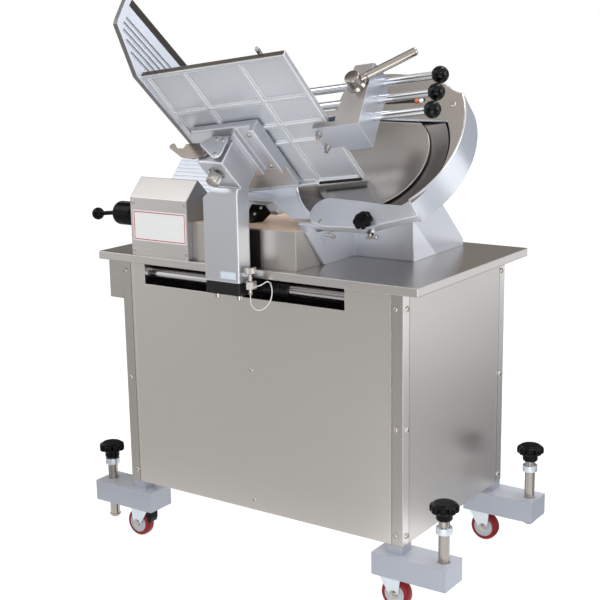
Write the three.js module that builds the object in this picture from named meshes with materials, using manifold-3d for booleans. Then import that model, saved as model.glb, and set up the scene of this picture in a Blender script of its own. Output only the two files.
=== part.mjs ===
// Floor standing meat slicer: a stainless cabinet on jacks and casters, a leaning blade and a sliding tray.
// Millimetres, Z up. The pieces are drawn from the cabinet's front left bottom corner, X right and Y back.
import * as THREE from "three";
import { mergeVertices } from "three/addons/utils/BufferGeometryUtils.js";
import Module from "manifold-3d";

const wasm = await Module();
wasm.setup();

// Clearances
const GAP = 0.3;
const RUN = 0.5;

// Cabinet
const CAB_W = 700;
const CAB_D = 438;
const CAB_H = 504;
const POST = 30;
const POST_T = 3;
const PANEL_T = 1.5;
const SLOT = { x0: 64, x1: 571, z0: 456.5 };

// Worktop
const TOP_T = 17;
const TOP_SHEET = 2.5;
const TOP = { x0: -50, x1: CAB_W + 40, y0: -17.5, y1: CAB_D + 26 };
const TOP_Z = CAB_H + TOP_T;
const BELT_HOLE = { x0: 498, x1: 576, y0: 228, y1: 336 };

// Outriggers, jacks and casters
const OUT = { len: 163.5, inside: 62.8, wide: 70, over: 13.8, z0: -65.2, z1: -18.9 };
const STUB = 35;
const JACK_R = 11;
const JACK_IN = 21.7;
const JACK_LEN = 146;
const KNOB_R = 30.5;
const KNOB_H = 37;
const WHEEL_R = 31.5;
const WHEEL_W = 24;
const AXLE_Z = -109;
const TRAIL = 12;

// The blade plane leans back, and the tray is rolled about the feed direction
const LEAN = THREE.MathUtils.degToRad(43);
const ROLL = THREE.MathUtils.degToRad(10);
const BLADE = { x: 537, s: 642, r: 162, edge: 384, flat: 370, thick: 4, disc: 113.5 };
const SHAFT_R = 12;
const PULLEY_R = 24;
const BELT_T = 3.5;
const BELT_H = { h0: 142, h1: 158 };
const MOTOR_S = 450;

// Guide shaft and rail inside the cabinet
const GUIDE = { y: 32, z: 476, r: 14, x0: 36, x1: 664 };
const RAIL = { y: 118, z: 476, r: 8 };

// Carriage arm and its head
const ARM = { x0: 282, x1: 366, y0: -62, y1: -24, z0: 499, z1: 686 };
const HEAD = { x0: 306, s0: 469, h0: 486, deep: 96, top: 450 };
const HEAD_H1 = HEAD.h0 + HEAD.deep;
const FOOT_Z0 = 473;

// Tray, in the tray's own axes
const TRAY = { e0: 334.8, e1: 641, h0: 395, h1: 755, rib: 481, under: 487, top: 492 };
const WALL = { e0: 325, e1: 334.5, lip: 4.5 };
const BLOCK = { clear: 16, wide: 52, jaw: 13, over: 23, h0: 500, h1: 571 };
const BLOCK_E0 = TRAY.e1 + BLOCK.clear;
const BLOCK_E1 = BLOCK_E0 + BLOCK.wide;
const ROD_R = 8;
const ROD_H = 521;
const ROD_LOW = 33;
const ROD_PITCH = 42;
const ROD_W = [2, 1, 0].map((i) => TRAY.top + ROD_LOW + ROD_PITCH * i);
const BALL_R = 16.5;
const BALL_E = 825;

const X = new THREE.Vector3(1, 0, 0);
const UP = new THREE.Vector3(0, Math.sin(LEAN), Math.cos(LEAN));
const FRONT = new THREE.Vector3(0, -Math.cos(LEAN), Math.sin(LEAN));
const EDGE = X.clone().multiplyScalar(Math.cos(ROLL)).addScaledVector(UP, Math.sin(ROLL));
const OFF = X.clone().multiplyScalar(-Math.sin(ROLL)).addScaledVector(UP, Math.cos(ROLL));
const BLADE_AXES = new THREE.Matrix4().makeBasis(X, UP, FRONT);
const TRAY_AXES = new THREE.Matrix4().makeBasis(EDGE, OFF, FRONT);
const SIDE_AXES = new THREE.Matrix4().makeBasis(new THREE.Vector3(0, 1, 0), new THREE.Vector3(0, 0, 1), X);
const FACE_AXES = new THREE.Matrix4().makeBasis(X, new THREE.Vector3(0, 0, 1), new THREE.Vector3(0, -1, 0));

// A closed three.js geometry as a solid
function solid(geometry) {
  const flat = geometry.index ? geometry.toNonIndexed() : geometry.clone();
  flat.deleteAttribute("normal");
  flat.deleteAttribute("uv");
  const merged = mergeVertices(flat, 1e-4);
  const triVerts = [];
  const index = merged.index.array;
  for (let i = 0; i < index.length; i += 3) {
    const [a, b, c] = [index[i], index[i + 1], index[i + 2]];
    if (a !== b && b !== c && c !== a) triVerts.push(a, b, c);
  }
  const vertProperties = merged.attributes.position.array;
  return new wasm.Manifold(new wasm.Mesh({ numProp: 3, vertProperties, triVerts: new Uint32Array(triVerts) }));
}

function box(x0, x1, y0, y1, z0, z1) {
  const shape = new THREE.BoxGeometry(x1 - x0, y1 - y0, z1 - z0);
  return solid(shape.translate((x0 + x1) / 2, (y0 + y1) / 2, (z0 + z1) / 2));
}

// An outline in the XY plane drawn out along Z
function prism(points, z0, z1) {
  const shape = new THREE.Shape(points.map(([x, y]) => new THREE.Vector2(x, y)));
  const drawn = new THREE.ExtrudeGeometry(shape, { depth: z1 - z0, bevelEnabled: false });
  return solid(drawn.translate(0, 0, z0));
}

// A profile of [radius, z] pairs turned about Z
function turned(profile, segments = 32) {
  const points = profile.map(([r, z]) => new THREE.Vector2(r, z));
  return solid(new THREE.LatheGeometry(points, segments).rotateX(Math.PI / 2));
}

function rod(r, z0, z1, segments = 32) {
  return turned([[0, z0], [r, z0], [r, z1], [0, z1]], segments);
}

function ball(r, segments = 24) {
  const steps = segments / 2;
  const arc = [];
  for (let i = 0; i <= steps; i++) {
    const a = -Math.PI / 2 + (Math.PI * i) / steps;
    arc.push([i === 0 || i === steps ? 0 : r * Math.cos(a), r * Math.sin(a)]);
  }
  return turned(arc, segments);
}

function placed(part, axes) {
  return part.transform(axes.elements);
}

// A body turned about Z set with its axis along X, Y or any given direction through a point
function along(part, direction, at) {
  const turn = new THREE.Quaternion().setFromUnitVectors(new THREE.Vector3(0, 0, 1), direction);
  const axes = new THREE.Matrix4().compose(new THREE.Vector3(...at), turn, new THREE.Vector3(1, 1, 1));
  return placed(part, axes);
}

function joined(...parts) {
  return parts.reduce((a, b) => a.add(b));
}

function arc(cx, cy, r, from, to, steps) {
  const points = [];
  for (let i = 0; i <= steps; i++) {
    const a = THREE.MathUtils.degToRad(from + ((to - from) * i) / steps);
    points.push([cx + r * Math.cos(a), cy + r * Math.sin(a)]);
  }
  return points;
}

// A round outline with lobes, for hand knobs
function lobed(r, depth, lobes, steps) {
  const points = [];
  for (let i = 0; i < steps; i++) {
    const a = (2 * Math.PI * i) / steps;
    const dip = Math.pow(0.5 - 0.5 * Math.cos(lobes * a), 2);
    points.push([(r - depth * dip) * Math.cos(a), (r - depth * dip) * Math.sin(a)]);
  }
  return points;
}

const MATERIALS = {
  stainless: new THREE.MeshStandardMaterial({ color: 0xb9bbbd, metalness: 0.9, roughness: 0.35 }),
  aluminium: new THREE.MeshStandardMaterial({ color: 0xc5cad6, metalness: 0.8, roughness: 0.4 }),
  painted: new THREE.MeshStandardMaterial({ color: 0xa5aab6, metalness: 0.3, roughness: 0.5 }),
  black: new THREE.MeshStandardMaterial({ color: 0x151515, metalness: 0, roughness: 0.4 }),
  chrome: new THREE.MeshStandardMaterial({ color: 0xd8d8da, metalness: 1, roughness: 0.15 }),
  dark: new THREE.MeshStandardMaterial({ color: 0x5b5d60, metalness: 0.5, roughness: 0.5 }),
  zinc: new THREE.MeshStandardMaterial({ color: 0xb8c6cc, metalness: 0.8, roughness: 0.35 }),
  tyre: new THREE.MeshStandardMaterial({ color: 0x96282a, metalness: 0, roughness: 0.5 }),
  blade: new THREE.MeshStandardMaterial({ color: 0x8b8782, metalness: 0.95, roughness: 0.25 }),
  white: new THREE.MeshStandardMaterial({ color: 0xf0f0ee, metalness: 0, roughness: 0.6 }),
};

const root = new THREE.Group();

function add(name, part, material) {
  const mesh = part.getMesh();
  const geometry = new THREE.BufferGeometry();
  geometry.setAttribute("position", new THREE.BufferAttribute(mesh.vertProperties, 3));
  geometry.setIndex(new THREE.BufferAttribute(mesh.triVerts, 1));
  const made = new THREE.Mesh(geometry, MATERIALS[material]);
  made.name = name;
  root.add(made);
}

// Cabinet

function cornerPost(x, y) {
  const sx = x > 0 ? -1 : 1;
  const sy = y > 0 ? -1 : 1;
  const angle = [[0, 0], [POST, 0], [POST, POST_T], [POST_T, POST_T], [POST_T, POST], [0, POST]];
  const outline = angle.map(([u, v]) => [x + sx * u, y + sy * v]);
  return prism(outline, 0, TOP_Z - TOP_SHEET - GAP);
}

function shaftBracket(x) {
  const sx = x > 0 ? -1 : 1;
  const span = (a, b, y0, y1) => {
    const ends = [x + sx * a, x + sx * b];
    return box(Math.min(...ends), Math.max(...ends), y0, y1, SLOT.z0 - 10, CAB_H - 1);
  };
  const plate = joined(span(2, 50, 2, 20), span(34, 50, 2, RAIL.y + 22));
  const bores = joined(
    along(rod(GUIDE.r + GAP, -15, 15), X, [x + sx * 51, GUIDE.y, GUIDE.z]),
    along(rod(RAIL.r + GAP, -15, 15, 24), X, [x + sx * 51, RAIL.y, RAIL.z]),
  );
  return plate.subtract(bores);
}

function cabinetFrame() {
  const posts = [[0, 0], [CAB_W, 0], [0, CAB_D], [CAB_W, CAB_D]].map(([x, y]) => cornerPost(x, y));
  const zTop = TOP_Z - TOP_SHEET - GAP;
  const ring = box(2, CAB_W - 2, 2, CAB_D - 2, CAB_H, zTop).subtract(
    box(22, CAB_W - 22, 22, CAB_D - 22, CAB_H - 1, zTop + 1),
  );
  const floor = box(2, CAB_W - 2, 2, CAB_D - 2, 0, POST_T);
  return joined(...posts, ring, floor, shaftBracket(0), shaftBracket(CAB_W));
}

function frontPanel() {
  const edge = POST + GAP;
  const top = CAB_H - GAP;
  const outline = [
    [edge, GAP], [CAB_W - edge, GAP], [CAB_W - edge, top], [SLOT.x1, top],
    [SLOT.x1, SLOT.z0], [SLOT.x0, SLOT.z0], [SLOT.x0, top], [edge, top],
  ];
  return placed(prism(outline, -PANEL_T, 0), FACE_AXES);
}

function plainPanel(x0, x1, y0, y1) {
  return box(x0, x1, y0, y1, GAP, CAB_H - GAP);
}

function worktop() {
  const sheet = box(TOP.x0, TOP.x1, TOP.y0, TOP.y1, CAB_H, TOP_Z);
  const t = TOP_SHEET;
  const pocket = box(TOP.x0 + t, TOP.x1 - t, TOP.y0 + t, TOP.y1 - t, CAB_H - 1, TOP_Z - t);
  const hole = box(BELT_HOLE.x0, BELT_HOLE.x1, BELT_HOLE.y0, BELT_HOLE.y1, CAB_H, TOP_Z + 1);
  return sheet.subtract(pocket).subtract(hole);
}

function electricalBox() {
  const shell = box(-40, -GAP, 2, 120, 417, CAB_H - GAP);
  return shell.subtract(box(-37.5, 1, 4.5, 117.5, 419.5, CAB_H - 2.8));
}

add("cabinet_frame", cabinetFrame(), "stainless");
add("front_panel", frontPanel(), "stainless");
add("rear_panel", plainPanel(POST + GAP, CAB_W - POST - GAP, CAB_D - PANEL_T, CAB_D), "stainless");
add("left_panel", plainPanel(0, PANEL_T, POST + GAP, CAB_D - POST - GAP), "stainless");
add("right_panel", plainPanel(CAB_W - PANEL_T, CAB_W, POST + GAP, CAB_D - POST - GAP), "stainless");
add("worktop", worktop(), "stainless");
add("electrical_box", electricalBox(), "stainless");

// Outriggers with their jacks and casters

function outrigger(side, front) {
  const out = side < 0 ? -(OUT.len - OUT.inside) : CAB_W - OUT.inside;
  const y0 = front ? -OUT.over : CAB_D + OUT.over - OUT.wide;
  const block = box(out, out + OUT.len, y0, y0 + OUT.wide, OUT.z0, OUT.z1);
  const stubX = side < 0 ? 1 : CAB_W - 1 - STUB;
  const stubY = front ? 1 : CAB_D - 1 - STUB;
  const stub = box(stubX, stubX + STUB, stubY, stubY + STUB, OUT.z1 - 1, -GAP);
  const jackX = side < 0 ? out + JACK_IN : out + OUT.len - JACK_IN;
  const bore = rod(JACK_R + RUN, OUT.z0 - 1, OUT.z1 + 1, 24).translate([jackX, y0 + OUT.wide / 2, 0]);
  const swivelX = side < 0 ? 12.8 : CAB_W - 36.8;
  return { part: joined(block, stub).subtract(bore), jackX, y: y0 + OUT.wide / 2, swivelX };
}

// The screw hangs from the underside of the knob and carries a lock collar, and a foot at its end
function jackScrew(knobBase, drop) {
  const z = knobBase - GAP;
  const tip = knobBase - JACK_LEN;
  const collar = z - drop;
  return turned([
    [0, tip], [6, tip + 0.8], [10.5, tip + 4], [12.5, tip + 7], [12.5, tip + 10], [JACK_R, tip + 10.5],
    [JACK_R, collar - 14], [16, collar - 14], [16, collar], [JACK_R, collar], [JACK_R, z], [0, z],
  ], 24);
}

function jackKnob(knobBase) {
  const hub = turned([[0, 0], [14, 0], [16.5, 3], [16.5, 17], [0, 17]], 24);
  const head = prism(lobed(KNOB_R, 4.5, 8, 56), 16, KNOB_H - 5);
  const cap = turned([
    [0, KNOB_H - 6], [KNOB_R - 5, KNOB_H - 6], [KNOB_R - 5, KNOB_H - 4], [KNOB_R - 9, KNOB_H - 0.7], [0, KNOB_H],
  ], 28);
  return joined(hub, head, cap).translate([0, 0, knobBase]);
}

// The fork trails outward from its swivel, the two legs hold the axle
function casterFork(x, y, way) {
  const top = OUT.z0 - GAP;
  const axleX = x + way * TRAIL;
  const half = WHEEL_W / 2;
  const plate = rod(28, top - 6, top, 32).translate([x, y, 0]);
  const leg = (y0) => {
    const side = [[15, top - 4], [-32, top - 4], [-30, top - 12], [-9, AXLE_Z - 2], ...arc(0, AXLE_Z, 9, 200, 360, 8)];
    const outline = [...side, [13, AXLE_Z + 14]].map(([u, z]) => [axleX + way * u, z]);
    return placed(prism(outline, -y0 - 2.5, -y0), FACE_AXES);
  };
  const axle = along(rod(4, -half - 4.5, half + 4.5, 16), new THREE.Vector3(0, 1, 0), [axleX, y, AXLE_Z]);
  return joined(plate, leg(y - half - 3.5), leg(y + half + 1), axle);
}

function casterWheel(x, y, way) {
  const half = WHEEL_W / 2;
  const hub = 22;
  const profile = [
    [4.4, -half], [9, -half], [10, -half + 2], [hub - 2, -half + 2], [hub, -half], [WHEEL_R - 4, -half],
    [WHEEL_R - 1, -half + 3], [WHEEL_R, 0], [WHEEL_R - 1, half - 3], [WHEEL_R - 4, half],
    [hub, half], [hub - 2, half - 2], [10, half - 2], [9, half], [4.4, half], [4.4, -half],
  ];
  return along(turned(profile, 28), new THREE.Vector3(0, 1, 0), [x + way * TRAIL, y, AXLE_Z]);
}

const CORNERS = [
  { tag: "fl", side: -1, front: true, knobTop: 68, drop: 1 },
  { tag: "fr", side: 1, front: true, knobTop: 104, drop: 13 },
  { tag: "rl", side: -1, front: false, knobTop: 101, drop: 9 },
  { tag: "rr", side: 1, front: false, knobTop: 101, drop: 9 },
];
for (const { tag, side, front, knobTop, drop } of CORNERS) {
  const { part, jackX, y, swivelX } = outrigger(side, front);
  const knobBase = knobTop - KNOB_H;
  add("outrigger_" + tag, part, "painted");
  add("jack_screw_" + tag, jackScrew(knobBase, drop).translate([jackX, y, 0]), "chrome");
  add("jack_knob_" + tag, jackKnob(knobBase).translate([jackX, y, 0]), "black");
  add("caster_fork_" + tag, casterFork(swivelX, y, side), "zinc");
  add("caster_wheel_" + tag, casterWheel(swivelX, y, side), "tyre");
}

// Slicer base: a front leg, the hollow pedestal behind the blade and a post that guides the gauge

function yz(s, h) {
  return [s * Math.sin(LEAN) - h * Math.cos(LEAN), s * Math.cos(LEAN) + h * Math.sin(LEAN)];
}

const BASE = { x0: 440, x1: 605, leg: 27, y0: 206, back: 680, house: 318.5, z0: TOP_Z + GAP };
const BASE_INNER = BASE.x0 + BASE.leg;
const LEG = [[90, BASE.z0], [31.5, 593], yz(477, 381), yz(477, 314), yz(600, 314), [232, 653], [232, BASE.z0]];
const GUIDE_BAR = { x0: 226, x1: 266, s0: 580, s1: 620 };

function sidePrism(outline, x0, x1) {
  return placed(prism(outline, x0, x1), SIDE_AXES);
}

function slicerBase() {
  const zOn = (y, h) => (h + y * Math.cos(LEAN)) / Math.sin(LEAN);
  const back = [428, 535];
  const pedestal = sidePrism(
    [[BASE.y0, BASE.z0], [BASE.y0, zOn(BASE.y0, BASE.house)], yz(BASE.back, BASE.house), back, [back[0], BASE.z0]],
    BASE.x0, BASE.x1,
  );
  const t = 12;
  const roof = BASE.house - t;
  const hollow = sidePrism(
    [[BASE.y0 + t, 500], [BASE.y0 + t, zOn(BASE.y0 + t, roof)], yz(BASE.back - t, roof), [back[0] - t, 532],
      [back[0] - t, 500]],
    BASE_INNER + t, BASE.x1 - t,
  );
  const leg = sidePrism(LEG, BASE.x0, BASE_INNER);
  const bar = placed(box(BASE.x0 + 1, 612, 470, 477.5, 378, 388.5), BLADE_AXES);
  const sole = box(190, BASE.x1 - 20, 235, 425, BASE.z0, BASE.z0 + t);
  const post = placed(box(200, 292, 560, 640, 60, 290), BLADE_AXES).subtract(box(150, 350, 100, 500, 200, BASE.z0));
  const slide = placed(
    box(GUIDE_BAR.x0 - RUN, GUIDE_BAR.x1 + RUN, GUIDE_BAR.s0 - RUN, GUIDE_BAR.s1 + RUN, 190, 300), BLADE_AXES,
  );
  const bearing = rod(34, 230, BASE.house).translate([BLADE.x, BLADE.s, 0]);
  const bore = rod(SHAFT_R + RUN, 200, 330).translate([BLADE.x, BLADE.s, 0]);
  const well = box(BELT_HOLE.x0, BELT_HOLE.x1, BELT_HOLE.y0 + 8, BELT_HOLE.y1, 500, BASE.z0 + t + 1);
  const body = joined(pedestal, leg, bar, sole, post).subtract(hollow).subtract(slide).subtract(well);
  return body.add(placed(bearing, BLADE_AXES)).subtract(placed(bore, BLADE_AXES));
}

// Blade housing: a pan behind the blade, with a face over the blade's upper half

const HOUSE = { x: 503, s: 691, r: 215, face: 390, back: 319, lip: 738, left: 404, wall: 5 };

function houseOutline(inset) {
  const r = HOUSE.r - inset;
  const low = -Math.asin((145 - inset) / r) * (180 / Math.PI);
  const high = Math.asin((119 - inset) / r) * (180 / Math.PI);
  const rise = [[162, 121], [126, 145], [82, 158], [38, 165], [-23, 165], [-73, 151], [HOUSE.left - HOUSE.x, 131]];
  const top = rise.map(([x, s]) => [HOUSE.x + x, HOUSE.s + s]);
  const left = HOUSE.left + inset;
  return [
    [left, HOUSE.s - 145 + inset], ...arc(HOUSE.x, HOUSE.s, r, low, high, 28),
    ...top.map(([x, s]) => [Math.max(Math.min(x, HOUSE.x + 162 - inset), left), s - inset]),
  ];
}

function bladeHousing() {
  const shell = prism(houseOutline(0), HOUSE.back, HOUSE.face);
  const inside = prism(houseOutline(HOUSE.wall), HOUSE.back + 6, HOUSE.face - 4);
  const below = box(HOUSE.left - 1, 800, 400, HOUSE.lip, HOUSE.face - 6, HOUSE.face + 1);
  const ring = prism(houseOutline(HOUSE.wall), HOUSE.face - 6, HOUSE.face + 1);
  const mouth = box(HOUSE.left - 1, 660, 500, 560, HOUSE.back + 6, HOUSE.face + 1);
  const sideMouth = box(HOUSE.left - 1, HOUSE.left + 8, 500, HOUSE.lip, HOUSE.back + 6, HOUSE.face + 1);
  const room = rod(BLADE.r + 4, HOUSE.back + 6, HOUSE.face - 4, 64).translate([BLADE.x, BLADE.s, 0]);
  const crescent = prism(arc(BLADE.x, BLADE.s, BLADE.r + 4, 0, 360, 64).slice(0, -1), HOUSE.face - 6, HOUSE.face + 1);
  const boss = rod(30, HOUSE.back + 1, HOUSE.back + 28).translate([BLADE.x, BLADE.s, 0]);
  const bore = rod(SHAFT_R + RUN, HOUSE.back - 1, HOUSE.face).translate([BLADE.x, BLADE.s, 0]);
  const window = crescent.intersect(below);
  const pan = shell.subtract(inside).subtract(room).subtract(window).subtract(mouth).subtract(sideMouth);
  return placed(joined(pan, boss).subtract(bore), BLADE_AXES);
}

function blade() {
  const { r, edge, flat, thick } = BLADE;
  const profile = [
    [SHAFT_R + RUN, flat - thick], [r - 40, flat - thick], [r, edge - 1.2], [r, edge], [BLADE.disc + 1, flat],
    [SHAFT_R + RUN, flat], [SHAFT_R + RUN, flat - thick],
  ];
  return placed(turned(profile, 80).translate([BLADE.x, BLADE.s, 0]), BLADE_AXES);
}

function bladeCover() {
  const z = BLADE.flat + GAP;
  const disc = turned([[0, z], [BLADE.disc, z], [BLADE.disc, z + 2], [BLADE.disc - 2, z + 3], [0, z + 3]], 80);
  return placed(disc.translate([BLADE.x, BLADE.s, 0]), BLADE_AXES);
}

function bladeShaft() {
  const { h0, h1 } = BELT_H;
  const seat = BLADE.flat - BLADE.thick - GAP;
  const profile = [
    [0, h0 - 4], [PULLEY_R, h0 - 4], [PULLEY_R, h1 + 4], [SHAFT_R, h1 + 4], [SHAFT_R, seat - 8], [20, seat - 8],
    [20, seat], [SHAFT_R, seat], [SHAFT_R, BLADE.flat - 0.2], [0, BLADE.flat - 0.2],
  ];
  return placed(turned(profile, 32).translate([BLADE.x, BLADE.s, 0]), BLADE_AXES);
}

function driveBelt() {
  const loop = (r) => [
    ...arc(BLADE.x, BLADE.s, r, 0, 180, 16), ...arc(BLADE.x, MOTOR_S, r, 180, 360, 16),
  ];
  const inner = PULLEY_R + GAP;
  const { h0, h1 } = BELT_H;
  const belt = prism(loop(inner + BELT_T), h0, h1).subtract(prism(loop(inner), h0 - 1, h1 + 1));
  return placed(belt, BLADE_AXES);
}

// The motor hangs from the worktop by its plate and drives the belt from below
function bladeMotor() {
  const { h0, h1 } = BELT_H;
  const body = turned([
    [0, -20], [46, -20], [55, -12], [55, h0 - 14], [40, h0 - 8], [14, h0 - 8], [14, h0 - 4], [PULLEY_R, h0 - 4],
    [PULLEY_R, h1 + 4], [0, h1 + 4],
  ], 32).translate([BLADE.x, MOTOR_S, 0]);
  const plate = box(BLADE.x - 50, BLADE.x + 50, 304, 312, 340, TOP_Z - TOP_SHEET - GAP);
  const belt = placed(
    box(BLADE.x - 36, BLADE.x + 36, MOTOR_S - 40, BLADE.s, h0 - 6, h1 + 6), BLADE_AXES,
  );
  return joined(placed(body, BLADE_AXES), plate.subtract(belt));
}

// Gauge plate with grooves along the carriage's travel, carried on a square bar

const GAUGE = { x0: 62, h1: 384, t: 8, low: 520, high: 690, tongue: BLADE.s - BLADE.r + 7 };

function gaugePlate() {
  const r = BLADE.r + 6;
  const from = Math.atan2(GAUGE.tongue + 2 - BLADE.s, -Math.sqrt(r * r - (GAUGE.tongue + 2 - BLADE.s) ** 2));
  const to = Math.atan2(GAUGE.high - BLADE.s, -Math.sqrt(r * r - (GAUGE.high - BLADE.s) ** 2));
  const deg = (a) => THREE.MathUtils.radToDeg(a);
  const curve = arc(BLADE.x, BLADE.s, r, deg(from) + 360, deg(to), 20);
  const outline = [
    [GAUGE.x0, GAUGE.low], [352, GAUGE.low + 2], [416, GAUGE.tongue], ...curve, [GAUGE.x0, GAUGE.high],
  ];
  let plate = prism(outline, GAUGE.h1 - GAUGE.t, GAUGE.h1);
  for (let s = GAUGE.low + 10; s < GAUGE.high - 4; s += 10) {
    plate = plate.subtract(box(GAUGE.x0 - 1, 340, s - 1.4, s + 1.4, GAUGE.h1 - 1.6, GAUGE.h1 + 1));
  }
  return placed(plate, BLADE_AXES);
}

function gaugeCarrier() {
  const back = GAUGE.h1 - GAUGE.t - GAP;
  const plate = box(160, 350, 560, 645, back - 10, back);
  const bar = box(GUIDE_BAR.x0, GUIDE_BAR.x1, GUIDE_BAR.s0, GUIDE_BAR.s1, 215, back - 9);
  return placed(joined(plate, bar), BLADE_AXES);
}

// Control housing with the thickness knob

const CONTROL = { x0: 45, x1: 198, end: 200 };
const CONTROL_SIDE = [[-14, TOP_Z + GAP], [-14, 645], [24, 684], [100, 613], [100, TOP_Z + GAP]];

function controlHousing() {
  const t = 2.5;
  const inside = [[-14 + t, 500], [-14 + t, 644], [24, 684 - 1.4 * t], [100 - t, 612], [100 - t, 500]];
  return sidePrism(CONTROL_SIDE, CONTROL.x0, CONTROL.x1).subtract(
    sidePrism(inside, CONTROL.x0 + t, CONTROL.x1 + 1),
  );
}

function thicknessKnob() {
  const profile = [[0, 0], [17, 0], [17, 6], [24, 7], [25.6, 10], [25.6, 52], [23, 58], [16, 61], [0, 61]];
  const grip = along(turned(profile, 32), new THREE.Vector3(-1, 0, 0), [CONTROL.x0 - GAP, 14, 604]);
  const handle = joined(turned([[0, 0], [4.6, 0], [4.6, 50], [8, 53], [0, 58]], 20), ball(13.5, 20).translate([0, 0, 62]));
  return grip.add(along(handle, new THREE.Vector3(-61, 0, -7).normalize(), [-15, 14, 604]));
}

// Lower blade guard with its star knob

const GUARD = { h0: 389, h1: 396.5 };

function bladeGuard() {
  const outline = [
    ...arc(496, 500, 34, 92, 226, 12), [503, 466], [596, 470], [684, 510], [684, 519], [645, 533], [560, 535],
  ];
  return placed(prism(outline, GUARD.h0, GUARD.h1), BLADE_AXES);
}

function guardKnob() {
  const head = prism(lobed(20, 3.5, 8, 56), 5, 16);
  const hub = turned([[0, 0], [10, 0], [10, 6], [0, 6]], 24);
  const cap = turned([[0, 15], [16, 15], [13, 18], [0, 18.6]], 24);
  const z = GUARD.h1 + GAP;
  return placed(joined(hub, head, cap).translate([595, 481, z]), BLADE_AXES);
}

// Low stainless cover over the carriage slot, cut to clear the base's front leg

function slotCover() {
  const z0 = TOP_Z + GAP;
  const x0 = CONTROL.end + GAP;
  const t = 2;
  const low = box(x0, 460, 0, 165, z0, 600).add(box(296, 460, 0, 203, z0, 600));
  const room = box(x0 + t, 460 - t, t, 165 - t, z0 - 1, 600 - t).add(box(296 + t, 460 - t, t, 210, z0 - 1, 600 - t));
  const mouth = box(262, 374, -1, 3, z0 - 1, 597);
  const lean = [[90 - 1.5, 500], [90 - 1.5, BASE.z0], [31.5 - 1.5, 593], [29, 620], [300, 620], [300, 500]];
  const leg = sidePrism(lean, BASE.x0 - 1, 470);
  return low.subtract(room).subtract(mouth).subtract(leg);
}

// Carriage: the foot runs on the shaft through the slot and carries the arm outside

const PIN = { x: 379, y: -43 };

function carriageBush() {
  const foot = box(ARM.x0, ARM.x1, ARM.y0, GUIDE.y, FOOT_Z0, ARM.z0 - GAP);
  const sleeve = turned([[0, 268], [17.5, 268], [17.5, 402], [16, 403], [16, 406], [17.5, 407], [17.5, 428], [0, 428]]);
  const link = box(300, 348, GUIDE.y, RAIL.y, 470, 482);
  const runner = along(rod(13, -40, 40, 24), X, [324, RAIL.y, RAIL.z]);
  const hex = rod(13, 487, 503, 6).translate([PIN.x, PIN.y, 0]);
  const lug = box(ARM.x1 - 2, PIN.x - 4, PIN.y - 8, PIN.y + 8, 488, 498);
  const body = joined(foot, along(sleeve, X, [0, GUIDE.y, GUIDE.z]), link, runner, hex, lug);
  const bores = joined(
    along(rod(GUIDE.r + RUN, 200, 500), X, [0, GUIDE.y, GUIDE.z]),
    along(rod(RAIL.r + RUN, 200, 500, 24), X, [0, RAIL.y, RAIL.z]),
    rod(5.5, 400, 520, 16).translate([PIN.x, PIN.y, 0]),
  );
  return body.subtract(bores);
}

function carriageArm() {
  const front = [
    [ARM.x0, ARM.z0], [ARM.x1, ARM.z0], [ARM.x1, ARM.z1], [HEAD.x0, ARM.z1], [ARM.x0, 664],
  ];
  const arm = placed(prism(front, -ARM.y1, -ARM.y0), FACE_AXES);
  const round = sidePrism([[-64, 668], [-64, 700], [-50, 700], [-57, 690], [-61, 679]], ARM.x0 - 1, ARM.x1 + 1);
  const topAt = (x) => (HEAD.top + x * Math.sin(ROLL)) / Math.cos(ROLL);
  const section = [[HEAD.x0, HEAD.s0], [ARM.x1, HEAD.s0], [ARM.x1, topAt(ARM.x1)], [HEAD.x0, topAt(HEAD.x0)]];
  const head = placed(prism(section, HEAD.h0, HEAD_H1), BLADE_AXES);
  const seat = along(rod(17, -1, 8, 32), UP, trayScrew());
  const bore = along(rod(5.5, -1, 22, 16), UP, trayScrew());
  return joined(arm.subtract(round), head).subtract(seat).subtract(bore);
}

function at(x, s, h) {
  const [y, z] = yz(s, h);
  return [x, y, z];
}

// Where the knob that locks the tray screws up into the head
function trayScrew() {
  return at((HEAD.x0 + ARM.x1) / 2 - 2, HEAD.s0, HEAD.h0 + 0.646 * HEAD.deep);
}

function trayKnob() {
  const profile = [[0, -24], [12, -24], [13.5, -22.5], [13.5, -5], [12, -3.5], [5, -3.5], [5, 20], [0, 20]];
  return along(turned(profile, 40), UP, trayScrew());
}

function lockPin() {
  const stem = turned([[0, 474], [2.4, 474], [5, 480], [5, 518], [13, 518], [13, 530], [11.5, 531.5], [0, 531.5]], 24);
  return stem.translate([PIN.x, PIN.y, 0]);
}

// A thin wire loop from the tip of the pin to a crimp and back to the hexagon
function lanyard() {
  const points = [
    [379, -43, 473.7], [379.6, -44.6, 463], [386, -46, 452], [396, -44, 446], [408, -41, 449], [418, -36, 460],
    [423, -32, 477], [420, -30, 496], [413, -31, 503], [403, -37, 497], [397, -40.5, 494.2], [390.6, -42, 493.5],
  ].map((p) => new THREE.Vector3(...p));
  const path = new THREE.CatmullRomCurve3(points);
  const shape = new THREE.Shape();
  shape.absarc(0, 0, 1.1, 0, 2 * Math.PI, false);
  return solid(new THREE.ExtrudeGeometry(shape, { steps: 36, curveSegments: 3, extrudePath: path, bevelEnabled: false }));
}

// Tray: a ribbed plate with its rim, the fluted wall at its left edge and the bracket on the arm's head

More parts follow.
